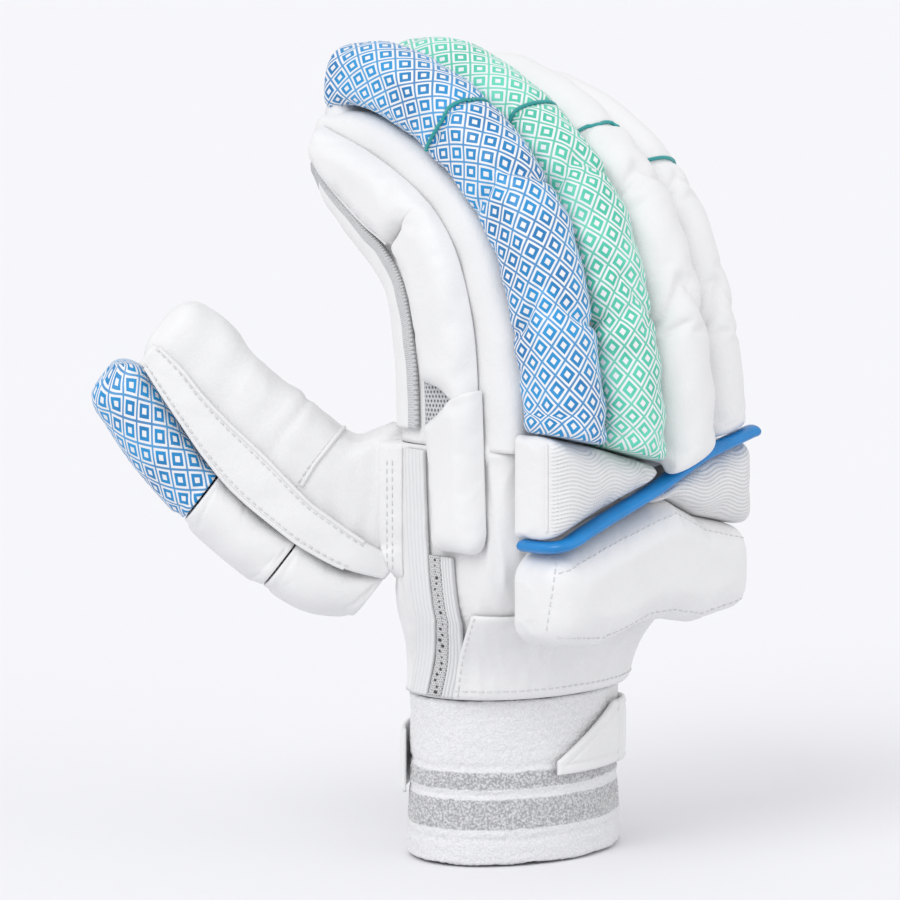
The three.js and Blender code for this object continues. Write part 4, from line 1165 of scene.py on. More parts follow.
def thumb_pad_piece(spec):
    columns = 44
    angle = turns(columns * 4, -math.pi / 2)

    def ring(along, left, ahead=0.0):
        low = thumb_pad_base(along) + GAP
        high = thumb_at("front", along) * THUMB_DEPTH
        middle = mix(low, high, 0.45)
        half = (thumb_half(along) - GAP) * left
        return section(along, mix(middle, low, left), mix(middle, high, left), half, angle, 7.0, 2.6, ahead)

    start = np.maximum(outside_from(lambda p: ring(p, 1.0), spec["from"]), spec["from"])
    steps = list(THUMB_PAD_FOOT) + [(t, 1.0) for t in np.linspace(0.1, 0.92, 12)]
    if spec["name"] != "thumb_tip_pad":
        steps += THUMB_PAD_HEAD
    rings = [ring(mix(start, spec["to"], t), left) for t, left in steps]
    if spec["name"] == "thumb_tip_pad":
        rings.append(ring(spec["to"], 1.0))
        rings += [ring(spec["to"], left, ahead) for ahead, left in tip_steps(THUMB_TIP_END)]
    count = int(46 * (spec["to"] - spec["from"]) / 0.33)
    shares = np.concatenate([[0, 0.008, 0.02], np.linspace(0.035, 0.965, count), [0.98, 0.992, 1.0]])
    grid = spline_tube(rings, columns, shares)
    uv, u, v, girth = tube_map(grid)
    ease = smooth(0, 4, v) * smooth(0, 4, v.max() - v)
    # column 0 is the middle of the side that lies on the stall
    flat_side = smooth(0.36, 0.42, np.abs(u) / girth)
    ends = 1 - smooth(1.0, 3.5, np.minimum(v, v.max() - v))
    outward = with_ends(grid_normals(grid), 0)
    allowed = 1.0 - with_ends(flat_side, 1)
    clean = tube(grid)[0]

    def room(p):
        rise = np.sum((p - clean) * outward, axis=1)
        out = p - outward * np.maximum(rise - allowed, 0)[:, None]
        return np.where(in_hand(out)[:, None], clean, out)

    plan_pad(
        spec["name"] + "_stuffed", *tube(sunk(grid, (0.5 + 0.35 * lumps(grid, 16, spec["seed"])) * ease)),
        with_ends(np.maximum(flat_side, ends), 1), room, cap=2.0, pressure=4.5, slack=-0.025,
        face_uv=tube_face_uv(uv), look=spec["look"], slot=spec["slot"], node=spec["name"], fill=0.75,
    )


def thumb_strip_at(along, v, h, lift=0.0):
    """Along the thumb, a share across its strip, and a share of the strip's bowed thickness."""
    low = thumb_at("strip_top", along) * THUMB_DEPTH
    high = thumb_at("strip_base", along) * THUMB_DEPTH
    bow = 1 + 0.35 * np.sin(math.pi * v) ** 0.6
    return thumb_points(along, mix(low, high, v), thumb_half(along) + GAP + h * STRIP_THICKNESS * bow + lift)


def thumb_strip_piece():
    (u, v, h), faces = lattice(even(90), even(10), even(2))
    across_v = even(40)
    start = outside_from(lambda place: thumb_strip_at(place, across_v, 0.0), -0.13)
    points = thumb_strip_at(mix(np.interp(v, across_v, start), 0.93, u), v, h)
    wrinkle = 0.25 * lumps(points, 9, 91) * h * np.sin(math.pi * v)
    points = points + THUMB_ACROSS * wrinkle[:, None]
    return finish_piece(mesh_from("thumb_side_binding", points, faces), "soft", "thumb_side_strip")


def strip_line(v, lift):
    """A line along the thumb's strip, a share of the way across it."""
    return thumb_strip_at(np.linspace(0.0, 0.905, 120), v, 1.0, lift)


# Pads on the back of the hand
def soft_edge(distance, rounding, floor):
    t = clamp(distance / rounding)
    return mix(floor, 1, np.sqrt(1 - (1 - t) ** 2))


def back_pad(name, node_name, x_from, x_to, base_z, top_z, look, rounding, seed, crown=0.8, corner=2.5):
    width = abs(x_to - x_from)
    nu = int(width / 2.1)
    edge_u = np.array([0, 0.012, 0.03]) * 60 / width
    us = np.concatenate([edge_u, np.linspace(0.055, 0.945, nu), 1 - edge_u[::-1]])
    vs = np.concatenate([[0, 0.025, 0.06], np.linspace(0.11, 0.89, 17), [0.94, 0.975, 1]])
    hs = even(7)
    (u, v, h), faces = lattice(us, vs, hs)
    x = mix(x_from, x_to, u)
    across_edge = rim(u) * width
    turn = clamp(1 - across_edge / corner)
    turn = np.minimum(corner, 0.3 * (top_z(x) - base_z(x))) * (1 - np.sqrt(1 - turn**2))
    low = base_z(x) + turn
    high = top_z(x) - turn
    z = mix(low, high, v)
    along_edge = rim(v) * (high - low)
    soft = soft_edge(across_edge, rounding, 0.62) * soft_edge(along_edge, rounding, 0.62)
    dome = crown * np.sin(math.pi * u) * np.sin(math.pi * v)
    y = -BACK_FACE - h * (BACK_PAD_THICKNESS - 1.2 + dome) * soft
    points = np.stack([x, y, z], axis=-1)
    points[:, 1] += h * 0.25 * lumps(points, 18, seed)
    on_rim = dip(np.minimum(across_edge, along_edge), 0.8) * (h > 0.9)
    held = np.maximum(1 - smooth(0.02, 0.12, h), on_rim)
    held = np.maximum(held, (h == 0) * 1.0)
    uv = np.stack([x, z], axis=-1)

    def room(p):
        out = p.copy()
        out[:, 1] = np.where(h == 0, -BACK_FACE, np.minimum(out[:, 1], -BACK_FACE))
        out[:, 1] = np.maximum(out[:, 1], -BACK_FACE - BACK_PAD_THICKNESS - 1.5)
        out[:, 0] = clamp(out[:, 0], min(x_from, x_to) - 0.6, max(x_from, x_to) + 0.6)
        out[:, 2] = np.clip(out[:, 2], base_z(out[:, 0]) - 0.1, top_z(out[:, 0]) + 0.1)
        return out

    plan_pad(
        name, points, faces, held, room, cap=2.2, pressure=3.5, slack=-0.02, uv=uv, look=look,
        node=node_name, fill=0.85,
    )


def back_pads():
    pipe = back_line("pipe")
    wrist = back_line("wrist_top")
    back_pad(
        "inner_knuckle_block", "knuckle_pad_inner", BACK_PAD_LEFT, BACK_PAD_WIDTH * INNER_PAD_END,
        lambda x: pipe(x) + PIPING_WIDTH / 2 + 2 * GAP, back_line("knuckle_top"), "embossed", 5.0, 101,
    )
    back_pad(
        "outer_knuckle_block", "knuckle_pad_outer", BACK_PAD_WIDTH * OUTER_PAD_START, BACK_PAD_RIGHT,
        lambda x: wrist(x) + GAP, lambda x: pipe(x) - PIPING_WIDTH / 2 - 2 * GAP, "embossed", 5.0, 102,
    )
    back_pad(
        "wrist_guard_block", "wrist_pad", BACK_PAD_LEFT, BACK_PAD_RIGHT, back_line("wrist_base"), wrist,
        "taut", 8.0, 103, 1.4, 7.0,
    )


# Pads on the index side
SIDE_PADS = [
    {
        "name": "index_side_middle", "from": 0.19, "to": 0.575, "near_from": 0.485, "near_to": 0.47,
        "far_from": 0.77, "far_to": 0.78, "hang": 0.06, "rise": 0.012, "joined": ("start", "end"),
    },
    {
        "name": "index_side_tip", "from": 0.585, "to": 0.985, "near_from": 0.47, "near_to": 0.6,
        "far_from": 0.79, "far_to": 0.82, "hang": 0.012, "rise": 0.0, "joined": ("start",),
    },
]
# Shares of the hand's depth and height
LOWER_PAD = {"back": -0.6, "palm": -0.133, "slant": 0.083, "base": 0.604, "top": 1.163, "notch": 0.083}
LOWER_RISE = 6.5
LOWER_CORNER = 7.0
# Mesh that shows where two side pads part: along the finger, then from its back to its palm
SIDE_NOTCHES = [("upper", 0.54, 0.63, 0.62, 0.80), ("lower", 0.08, 0.25, 0.56, 0.80)]


def low_pad(name, place, outward, length, width, seed, joined=()):
    """A raised pad whose edge runs down to the leather it is sewn on."""
    us = np.concatenate([[0, 0.02, 0.05], np.linspace(0.09, 0.91, int(length / 2.2)), [0.95, 0.98, 1]])
    vs = np.concatenate([[0, 0.04, 0.1], np.linspace(0.18, 0.82, int(width / 2.2)), [0.9, 0.96, 1]])
    (u, v, h), faces = lattice(us, vs, even(3))
    near_end = rim(u) * length
    near_side = rim(v) * width
    wall_side = soft_edge(v * width, 10.0, 0.1)
    ends = np.ones_like(u)
    for end, distance in (("start", u * length), ("end", (1 - u) * length)):
        spread = smooth(0.3, 0.8, v) if end in joined else 1.0
        ends *= mix(1.0, soft_edge(distance, 4.5, 0.3), spread)
    soft = ends * np.minimum(wall_side, soft_edge((1 - v) * width, 4.5, 0.3))
    dome = 0.88 + 0.12 * np.sin(math.pi * u) * np.sin(math.pi * v)
    points = place(u, v, h * SIDE_PAD_THICKNESS * soft * dome)
    points = points + outward * (h * 0.2 * lumps(points, 12, seed))[:, None]
    held = np.where(h < 0.4, 1.0, dip(np.minimum(near_end, near_side), 0.9))
    base = place(u, v, np.zeros_like(h))
    full = place(u, v, h * (SIDE_PAD_THICKNESS * soft + 0.5))

    def room(p):
        rise = (p - base) @ outward
        most = (full - base) @ outward
        return p + outward * (clamp(rise, 0.0, most) - rise)[:, None]

    plan_pad(
        name + "_stuffed", points, faces, held, room, cap=1.5, pressure=3.0, slack=-0.02, look="taut",
        node=name, fill=0.6,
    )


def index_side_pads():
    outward = np.array([-1.0, 0.0, 0.0])
    for k, pad in enumerate(SIDE_PADS):

        def place(u, v, proud, pad=pad):
            foot = pad["from"] - pad["hang"] * (1 - v) ** 1.5
            share = mix(foot, pad["to"] + pad["rise"] * (1 - v) ** 1.5, u)
            depth = curl(INDEX, share)[4]
            bow = SIDE_PAD_BOW * np.sin(math.pi * u)
            near = depth * (mix(pad["near_from"], pad["near_to"], u) - bow)
            far = depth * (mix(pad["far_from"], pad["far_to"], u) + bow)
            return finger_points(INDEX, share, -stall_half(INDEX) - GAP - proud, mix(near, far, v))

        length = (pad["to"] - pad["from"]) * FINGER_RISE
        low_pad(pad["name"], place, outward, length, 24.0, 111 + k, pad["joined"])

    back = LOWER_PAD["back"] * HAND_DEPTH
    palm = LOWER_PAD["palm"] * HAND_DEPTH
    base = HAND_BASE + LOWER_PAD["base"] * HAND_HEIGHT
    top = HAND_BASE + LOWER_PAD["top"] * HAND_HEIGHT

    def lower_place(u, v, proud):
        slant = LOWER_PAD["slant"] * HAND_DEPTH * (1 - u)
        notch = LOWER_PAD["notch"] * HAND_HEIGHT * smooth(0.75, 1.0, u)
        y = mix(back + mix(1.8, 3.8, u), palm, v) - slant * v
        turn = clamp(1 - v * (palm - back) / LOWER_CORNER)
        low = base + LOWER_CORNER * (1 - np.sqrt(1 - turn**2))
        z = mix(low, top + LOWER_RISE, u) - (notch + LOWER_RISE * smooth(0.5, 1.0, u)) * v**1.5
        return np.stack([-HAND_WIDTH / 2 - GAP - proud, y, z], axis=-1)

    low_pad("index_side_lower", lower_place, outward, top - base, palm - back, 113, ("end",))


def notch_meshes():
    for name, start, end, near, far in SIDE_NOTCHES:
        (u, v, h), faces = lattice(even(24), even(20), even(1))
        share = mix(start, end, u)
        depth = curl(INDEX, share)[4] * mix(near, far, v)
        proud = GAP + mix(-0.6, 0.45, h * smooth(0, 0.08, np.minimum(rim(u), rim(v))))
        points = finger_points(INDEX, share, -stall_half(INDEX) - proud, depth)
        uv = np.stack([v * (far - near) * 80, u * (end - start) * FINGER_RISE], axis=-1)
        finish_piece(mesh_from("index_notch_mesh_" + name, points, faces, uv), "mesh", slot="grey_mesh")


# Mesh gusset, strips and heel: shares along the finger or up the hand, and angles in degrees
GUSSET_FROM = 0.09
GUSSET_TO = 0.995
GUSSET_INNER = 165
GUSSET_OUTER = 128
HEEL_FROM = (199, 195)
HEEL_TO = 322
HEEL_FOOT = 0.005
HEEL_RISE = 0.355


def gusset_piece():
    (u, v, h), faces = lattice(even(110), even(26), even(1))
    share = mix(GUSSET_FROM, GUSSET_TO, u)
    grow = GAP + MESH_THICKNESS * h
    near = ROLL_THICKNESS - grow
    far = curl(INDEX, share)[4] + grow
    angle = np.radians(mix(GUSSET_INNER, GUSSET_OUTER, v))
    points = finger_section(INDEX, share, stall_half(INDEX) + grow, near, far, angle, STALL_POWERS)
    ripple = 0.25 * lumps(points, 10, 121) * h
    points = points + np.array([-1.0, 0, 0]) * ripple[:, None]
    uv = np.stack([v * 24.0, u * 150.0], axis=-1)
    return finish_piece(mesh_from("index_mesh_gusset", points, faces, uv), "edged", "index_gusset", slot="grey_mesh")


STRIPS = [
    dict(zip(("name", "look", "slot", "wrist", "bend", "top", "width", "height", "thick"), row))
    for row in (
        ("side_rib_front", "tape", "white_leather", -0.2, -0.333, -0.317, 0.0867, 0.58, STRIP_THICKNESS),
        ("side_mesh", "speckled", "grey_mesh", -0.108, -0.242, -0.225, 0.0867, 0.58, MESH_THICKNESS),
        ("side_rib_rear", "rib", "white_leather", -0.012, -0.144, -0.108, 0.15, 0.985, STRIP_THICKNESS),
    )
]
STRIP_FOOT = 0.01
STRIP_BEND = 0.32


def strip_place(strip, u, v, grow):
    share = mix(STRIP_FOOT, strip["height"], v)
    z = HAND_BASE + HAND_HEIGHT * share
    edge = np.interp(share, [STRIP_FOOT, STRIP_BEND, strip["height"]], [strip["wrist"], strip["bend"], strip["top"]])
    y = HAND_DEPTH * (edge + strip["width"] * u)
    return np.stack(np.broadcast_arrays(side_x(y, z, grow), y, z), axis=-1)


def strip_pieces():
    for number, strip in enumerate(STRIPS):
        width = strip["width"] * HAND_DEPTH
        length = HAND_HEIGHT * (strip["height"] - STRIP_FOOT)
        (u, v, h), faces = lattice(even(int(width * 5)), even(int(length * 1.6)), even(2))
        edge = rim(u) * width
        relief = soft_edge(edge, 1.1, 0.7) * strip["thick"] - 0.2
        if strip["look"] != "rib":
            relief = relief + 0.25 * np.abs(np.sin(math.pi * u * width / 1.3)) * (h > 0.9)
        points = strip_place(strip, u, v, GAP + h * relief)
        points[:, 0] += 0.2 * np.abs(lumps(points, 11, 131 + number)) * h
        uv = np.stack([u * width, v * length], axis=-1)
        obj = mesh_from(strip["name"] + "_tape", points, faces, uv)
        finish_piece(obj, strip["look"], strip["name"], slot=strip["slot"])


def heel_place(u, v, grow):
    angle = np.radians(mix(mix(*HEEL_FROM, v), HEEL_TO, u))
    return body_points(HEEL_FOOT + HEEL_RISE * v, angle, grow)


def heel_piece():
    (u, v, h), faces = lattice(even(120), even(36), even(2))
    points = heel_place(u, v, GAP)
    grown = heel_place(u, v, GAP + LEATHER)
    outward = unit(grown - points)
    edge = np.minimum(rim(u) * 100, rim(v) * 25)
    puff = soft_edge(edge, 2.5, 0.6)
    folds = 1.0 * np.abs(lumps(points * np.array([1, 1, 0.3]), 9, 141)) * smooth(0, 6, edge)
    points = points + outward * (h * (LEATHER * puff - folds))[:, None]
    return finish_piece(mesh_from("heel_leather", points, faces), "soft", "heel_panel")


# Cuff, strap and tab; hems and pulled rows round the cuff: height, half width, depth
CUFF_HEMS = [(8.5, 1.0, 0.5), (32.5, 1.2, 0.45), (23.5, 0.8, 0.45)]


def cuff_draw(z):
    return -CUFF_WAIST * dip(z - STRAP_Z - STRAP_WIDTH / 3, STRAP_WIDTH, 4)


def cuff_piece():
    columns = 240
    angle = turns(columns)

    def ring(z, grow):
        x = (CUFF_WIDTH / 2 + grow) * np.cos(angle)
        y = (CUFF_DEPTH / 2 + grow) * np.sin(angle)
        return np.stack([x, y, np.full(columns, z)], axis=-1)

    rows = []
    for z in np.linspace(0, CUFF_HEIGHT, 84):
        turned_in = 1.1 * (1 - math.sqrt(max(0.0, 1 - max(0.0, 1 - min(z, CUFF_HEIGHT - z) / 1.6) ** 2)))
        rows.append(ring(z, cuff_draw(z) - turned_in))
    outer = np.array(rows)
    z = outer[..., 2]
    course = 0.10 * np.sin(z * 2 * math.pi / 1.3)
    hem = sum(depth * dip(z - at, width) for at, width, depth in CUFF_HEMS)
    rough = 0.22 * lumps(outer, 2.6, 151) + 0.3 * lumps(outer, 17, 152)
    outer = sunk(outer, np.maximum(0.35 + course + hem + rough, 0))
    inner = np.array([ring(z, -CUFF_WALL - CUFF_WAIST) for z in np.linspace(CUFF_HEIGHT - 0.6, 0.6, 24)])
    grid = np.concatenate([outer, inner])
    obj = mesh_from("knitted_cuff", grid.reshape(-1, 3), tube_faces(*grid.shape[:2], closed_rows=True))
    finish_piece(obj, "knit", "cuff", slot="cuff_knit")


def cuff_points(degrees, z, grow):
    a = np.radians(degrees)
    x = CUFF_WIDTH / 2 * np.cos(a)
    y = CUFF_DEPTH / 2 * np.sin(a)
    nx = x / CUFF_WIDTH**2
    ny = y / CUFF_DEPTH**2
    size = np.hypot(nx, ny)
    return np.stack(np.broadcast_arrays(x + nx / size * grow, y + ny / size * grow, z), axis=-1)


def strap_place(u, v, grow):
    degrees = mix(STRAP_START, STRAP_JOIN, u)
    base = STRAP_Z - STRAP_TILT * (1 - u)
    return cuff_points(degrees, base + STRAP_WIDTH * v, grow)


def tab_height(u):
    return STRAP_WIDTH * mix(1, 0.22, clamp((u - 0.1) / 0.9) ** 1.1)


def strap_pieces():
    (u, v, h), faces = lattice(even(150), even(16), even(1))
    edge = np.minimum(rim(u) * 150, rim(v) * STRAP_WIDTH)
    proud = h * (STRAP_THICKNESS * soft_edge(edge, 1.2, 0.6) - 0.35 * dip(edge - 3.0, 0.7))
    points = strap_place(u, v, GAP + proud)
    finish_piece(mesh_from("wrist_strap_leather", points, faces), "taut", "wrist_strap")
    (u, v, h), faces = lattice(even(80), even(26), even(1))
    edge = np.minimum((1 - u) * 38, rim(v) * tab_height(u))
    welt = soft_edge(edge, 1.2, 0.5) - 0.3 * dip(edge - 3.4, 0.6) + 0.12 * (edge > 3.4)
    degrees = mix(STRAP_JOIN - 0.5, TAB_TIP, u)
    points = cuff_points(degrees, STRAP_Z + tab_height(u) * v, GAP + h * STRAP_THICKNESS * 0.85 * welt)
    finish_piece(mesh_from("strap_tab_leather", points, faces), "taut", "strap_tab")


# Bead between the knuckle pads
def piping_piece():
    line = back_line("pipe")
    left = BACK_PAD_LEFT
    face = BACK_FACE + BACK_PAD_THICKNESS - PIPING_DEPTH + 1
    path = [
        (left + 3, -BACK_FACE - 2), (left + 3, -BACK_FACE - 9), (left + 4, -face + 2), (left + 7, -face),
    ]
    path += [(left + BACK_PAD_WIDTH * t, -face) for t in (0.16, 0.25, 0.38, 0.5, 0.6, 0.75, 0.88, 1.0)]
    flat = np.array(path)
    centre = np.stack([flat[:, 0], flat[:, 1], line(flat[:, 0])], axis=-1)[:, None, :]
    path = spline_rows(centre, even(130))[:, 0]
    path[:, 2] = line(path[:, 0])
    padded = np.concatenate([np.repeat(path[:1, 2], 3), path[:, 2], np.repeat(path[-1:, 2], 3)])
    path[:, 2] = np.convolve(padded, np.ones(7) / 7, mode="valid")
    turn = np.gradient(path[:, :2], axis=0)
    out = unit(np.stack([turn[:, 1], -turn[:, 0]], axis=-1))
    count = 16
    angle = turns(count)
    deep = PIPING_DEPTH * np.cos(angle)
    high = PIPING_WIDTH / 2 * np.sin(angle)
    grid = np.zeros((len(path), count, 3))
    grid[..., 0] = path[:, None, 0] + out[:, None, 0] * deep
    grid[..., 1] = path[:, None, 1] + out[:, None, 1] * deep
    grid[..., 2] = path[:, None, 2] + high
    return finish_piece(mesh_from("blue_bead_piping", *tube(grid)), "bead", "piping", slot="blue_piping")


# Runs of stitches, cords and holes, made by Geometry Nodes
def gn_tree(name, **sizes):
    """A new tree with named sizes and a material, and the sockets that it reads."""
    tree = bpy.data.node_groups.new(name, "GeometryNodeTree")
    add = tree.interface.new_socket
    add(name="Geometry", in_out="INPUT", socket_type="NodeSocketGeometry")
    for label, value in sizes.items():
        add(name=label, in_out="INPUT", socket_type="NodeSocketFloat").default_value = value
    add(name="Material", in_out="INPUT", socket_type="NodeSocketMaterial")
    add(name="Geometry", in_out="OUTPUT", socket_type="NodeSocketGeometry")
    return tree, node(tree, "NodeGroupInput").outputs


def gn_end(tree, given, geometry):
    real = node(tree, "GeometryNodeRealizeInstances", {"Geometry": geometry}).outputs[0]
    look = node(tree, "GeometryNodeSetMaterial", {"Geometry": real, "Material": given["Material"]})
    node(tree, "NodeGroupOutput", {"Geometry": look.outputs[0]})
    return tree


def aligned(tree, vector, axis):
    return node(tree, "FunctionNodeAlignRotationToVector", {"Vector": vector}, axis=axis).outputs["Rotation"]


def placed(tree, points, shape, turn, size):
    """A shape at each point, turned and sized along its own three axes."""
    scale = node(tree, "ShaderNodeCombineXYZ", dict(zip("XYZ", size))).outputs["Vector"]
    inputs = {"Points": points, "Instance": shape, "Rotation": turn, "Scale": scale}
    return node(tree, "GeometryNodeInstanceOnPoints", inputs).outputs["Instances"]


def stitch_tree():
    tree, given = gn_tree("stitch_run", Pitch=0.0026, Length=0.0019, Thickness=0.0003)
    run = node(tree, "GeometryNodeMeshToCurve", {"Mesh": given["Geometry"]}).outputs["Curve"]
    spaced = node(tree, "GeometryNodeResampleCurve", {"Curve": run, "Length": given["Pitch"]}, mode="LENGTH")
    ball = node(tree, "GeometryNodeMeshUVSphere", {"Segments": 6, "Rings": 4, "Radius": 1.0}).outputs["Mesh"]
    turn = aligned(tree, node(tree, "GeometryNodeInputTangent").outputs[0], "X")
    half = calc(tree, "MULTIPLY", given["Length"], 0.5)
    size = (half, given["Thickness"], given["Thickness"])
    return gn_end(tree, given, placed(tree, spaced.outputs["Curve"], ball, turn, size))


def cord_tree():
    tree, given = gn_tree("cord_run", Radius=0.0006)
    run = node(tree, "GeometryNodeMeshToCurve", {"Mesh": given["Geometry"]}).outputs["Curve"]
    circle = node(tree, "GeometryNodeCurvePrimitiveCircle", {"Resolution": 8, "Radius": given["Radius"]})
    inputs = {"Curve": run, "Profile Curve": circle.outputs["Curve"], "Fill Caps": True}
    return gn_end(tree, given, node(tree, "GeometryNodeCurveToMesh", inputs).outputs["Mesh"])


def named_value(tree, name, kind):
    return node(tree, "GeometryNodeInputNamedAttribute", {"Name": name}, data_type=kind).outputs["Attribute"]


def hole_tree():
    tree, given = gn_tree("hole_row", Radius=0.0005)
    disc = node(tree, "GeometryNodeMeshCylinder", {"Vertices": 8, "Radius": 1.0, "Depth": 0.25}).outputs["Mesh"]
    points = node(tree, "GeometryNodeMeshToPoints", {"Mesh": given["Geometry"]}).outputs["Points"]
    turn = aligned(tree, named_value(tree, "facing", "FLOAT_VECTOR"), "Z")
    radius = calc(tree, "MULTIPLY", given["Radius"], named_value(tree, "size", "FLOAT"))
    return gn_end(tree, given, placed(tree, points, disc, turn, (radius, radius, given["Radius"])))


STITCH_TREE = stitch_tree()
CORD_TREE = cord_tree()
HOLE_TREE = hole_tree()


def run_along(name, paths, tree, look, slot="white_leather", normals=None, **sizes):
    """One piece made by a node group along polylines given in millimetres, or at points with normals."""
    points = np.vstack(paths)
    edges = []
    first = 0
    if normals is None:
        for path in paths:
            edges += [(first + k, first + k + 1) for k in range(len(path) - 1)]
            first += len(path)
    mesh = bpy.data.meshes.new(name)
    mesh.from_pydata((points * MM).tolist(), edges, [])
    if normals is not None:
        layer = mesh.attributes.new("facing", "FLOAT_VECTOR", "POINT")
        layer.data.foreach_set("vector", np.asarray(normals, dtype=np.float32).ravel())
        shares = np.random.default_rng(201).uniform(0.5, 1.2, len(points))
        mesh.attributes.new("size", "FLOAT", "POINT").data.foreach_set("value", shares.astype(np.float32))
    obj = add_object(name, mesh)
    step = obj.modifiers.new("run", "NODES")
    step.node_group = tree
    values = dict(sizes, Material=FINISH[look])
    for item in tree.interface.items_tree:
        if item.in_out == "INPUT" and item.name in values:
            step[item.identifier] = values[item.name]
    return finish_piece(made_plain(obj), look, slot=slot)


TREES = {}


def surface_of(obj):
    if obj.name not in TREES:
        mesh = obj.data
        corners = [v.co.copy() for v in mesh.vertices]
        TREES[obj.name] = BVHTree.FromPolygons(corners, [tuple(p.vertices) for p in mesh.polygons])
    return TREES[obj.name]


def lifted(place, normal, lift):
    return np.array(place) / MM + np.array(normal) * lift


def laid_on(obj, points, lift=0.1):
    """Points moved to the nearest place on a piece and lifted a little off it."""
    tree = surface_of(obj)
    out = []
    facing = []
    for p in points:
        place, normal, _, _ = tree.find_nearest(Vector(p * MM))
        out.append(lifted(place, normal, lift))
        facing.append(np.array(normal))
    return np.array(out), np.array(facing)


def met_on(obj, rays, lift=0.1):
    """Where rays, each a start in metres and a way, first meet a piece, lifted a little off it."""
    out = []
    for start, way in rays:
        place, normal, _, _ = surface_of(obj).ray_cast(start, way)
        if place is not None:
            out.append(lifted(place, normal, lift))
    return np.array(out)


# The side that the glove is seen from, and how seams are laid along it
VIEW_AZIMUTH = -45
VIEW_BACK = toward(VIEW_AZIMUTH, 7)
VIEW_RIGHT = np.array([math.cos(math.radians(VIEW_AZIMUTH)), math.sin(math.radians(VIEW_AZIMUTH)), 0.0])
VIEW_UP = np.cross(VIEW_BACK, VIEW_RIGHT)
VIEW_WIDTH = 301.5
VIEW_LENS = 200.0
SENSOR = 36.0
VIEW_SHIFT = (-21.4, 132.3)


def view_place():
    middle = VIEW_RIGHT * VIEW_SHIFT[0] + VIEW_UP * VIEW_SHIFT[1]
    return middle + VIEW_BACK * VIEW_WIDTH * VIEW_LENS / SENSOR


# Seams on the side in view: points right of and above the middle of the cuff's mouth
SEAM_ROWS = [
    ["stitch", "thumb_web_leather", [(-42.5, 128.0), (-42.5, 92.8)]],
    ["stitch", "thumb_web_leather", [(-40.7, 128.0), (-40.7, 92.8)]],
    ["welt", "inner_knuckle_block", [(11.0, 134.0), (11.0, 104.0)]],
    ["welt", "thumb_leather", [(-57.0, 139.7), (-60.5, 135.5), (-66.5, 128.0), (-71.7, 119.6)]],
    ["stitch", "thumb_leather", [(-59.3, 138.0), (-62.8, 134.0), (-68.6, 126.8), (-73.4, 119.6)]],
    ["stitch", "wrist_guard_block", [(14.2, 94.0), (12.6, 83.0), (11.0, 72.5)]],
]


def seen_on(obj, points, lift):
    """Points on a piece behind places in the view, as close together as stitches."""
    eye = view_place()
    line = np.array(points, dtype=float)
    steps = np.concatenate([[0], np.cumsum(np.linalg.norm(np.diff(line, axis=0), axis=1))])
    at = np.arange(0, steps[-1], 1.2)
    places = np.stack([np.interp(at, steps, line[:, k]) for k in range(2)], axis=-1)
    ways = [unit(VIEW_RIGHT * right + VIEW_UP * up - eye) for right, up in places]
    return met_on(obj, [(Vector(eye * MM), Vector(way)) for way in ways], lift)


# The thumb's web, as seen: its top and foot, its left edge at four heights, its right edge
WEB_SPAN = (136.0, 89.5)
WEB_LEFT = ((89, 94, 101, 137), (-39.5, -43.0, -45.5, -45.5))
WEB_RIGHT = -37.0
WEB_THICKNESS = 1.3


def thumb_web(pieces):
    """Leather drawn smoothly over the gap between pieces, as seen from the thumb side."""
    eye = view_place()
    rows = []
    for up in np.linspace(*WEB_SPAN, 66):
        rights = np.linspace(np.interp(up, *WEB_LEFT), WEB_RIGHT, 19)
        ways = [unit(VIEW_RIGHT * right + VIEW_UP * up - eye) for right in rights]
        depths = np.full(len(ways), -1e3)
        for k, way in enumerate(ways):
            for piece in pieces:
                place = surface_of(piece).ray_cast(Vector(eye * MM), Vector(way))[0]
                if place is not None:
                    depths[k] = max(depths[k], np.array(place) @ VIEW_BACK / MM)
        met = depths > -900
        if not met.any():
            continue
        depths = np.interp(np.arange(len(ways)), np.flatnonzero(met), depths[met])
        chord = np.linspace(depths[0], depths[-1], len(ways))
        depths = np.maximum(depths, chord)
        for _ in range(3):
            depths[1:-1] = np.maximum(depths[1:-1], (depths[:-2] + depths[2:]) / 2)
            depths[1:-1] = (depths[:-2] + 2 * depths[1:-1] + depths[2:]) / 4
        rows.append([eye + way * ((d - eye @ VIEW_BACK) / (way @ VIEW_BACK)) for way, d in zip(ways, depths)])
    front = np.array(rows)
    for _ in range(3):
        front[1:-1] = (front[:-2] + front[1:-1] * 2 + front[2:]) / 4
    front = front + VIEW_BACK * (0.55 + 0.3 * lumps(front * [1, 1, 0.4], 9, 211))[..., None]
    back = front - VIEW_BACK * WEB_THICKNESS
    front[:, [0, -1]] -= VIEW_BACK * 1.0
    front[[0, -1]] -= VIEW_BACK * 1.0
    grid = np.concatenate([front, back[:, ::-1]], axis=1)
    finish_piece(mesh_from("thumb_web_leather", *tube(grid)), "soft")


# Leather over the index side's joint: how far up and down, and from the back to the palm
WALL_JOINT_REACH = 6.0
WALL_JOINT_SPAN = (-HAND_BACK + 3.2, -10.0)


def wall_joint():
    """The index side's leather runs on unbroken from the stall to the hand."""
    (u, v, h), faces = lattice(even(8), even(24), even(1))
    z = HAND_TOP + mix(-WALL_JOINT_REACH, WALL_JOINT_REACH, u)
    y = mix(*WALL_JOINT_SPAN, v)
    over = 1.6 * np.sin(math.pi * u) * np.sin(math.pi * v) ** 0.3 - 1.5
    points = np.stack([side_x(y, z, over * h - 2.5 * (1 - h)), y, z], axis=-1)
    finish_piece(mesh_from("index_side_leather", points, faces), "soft")


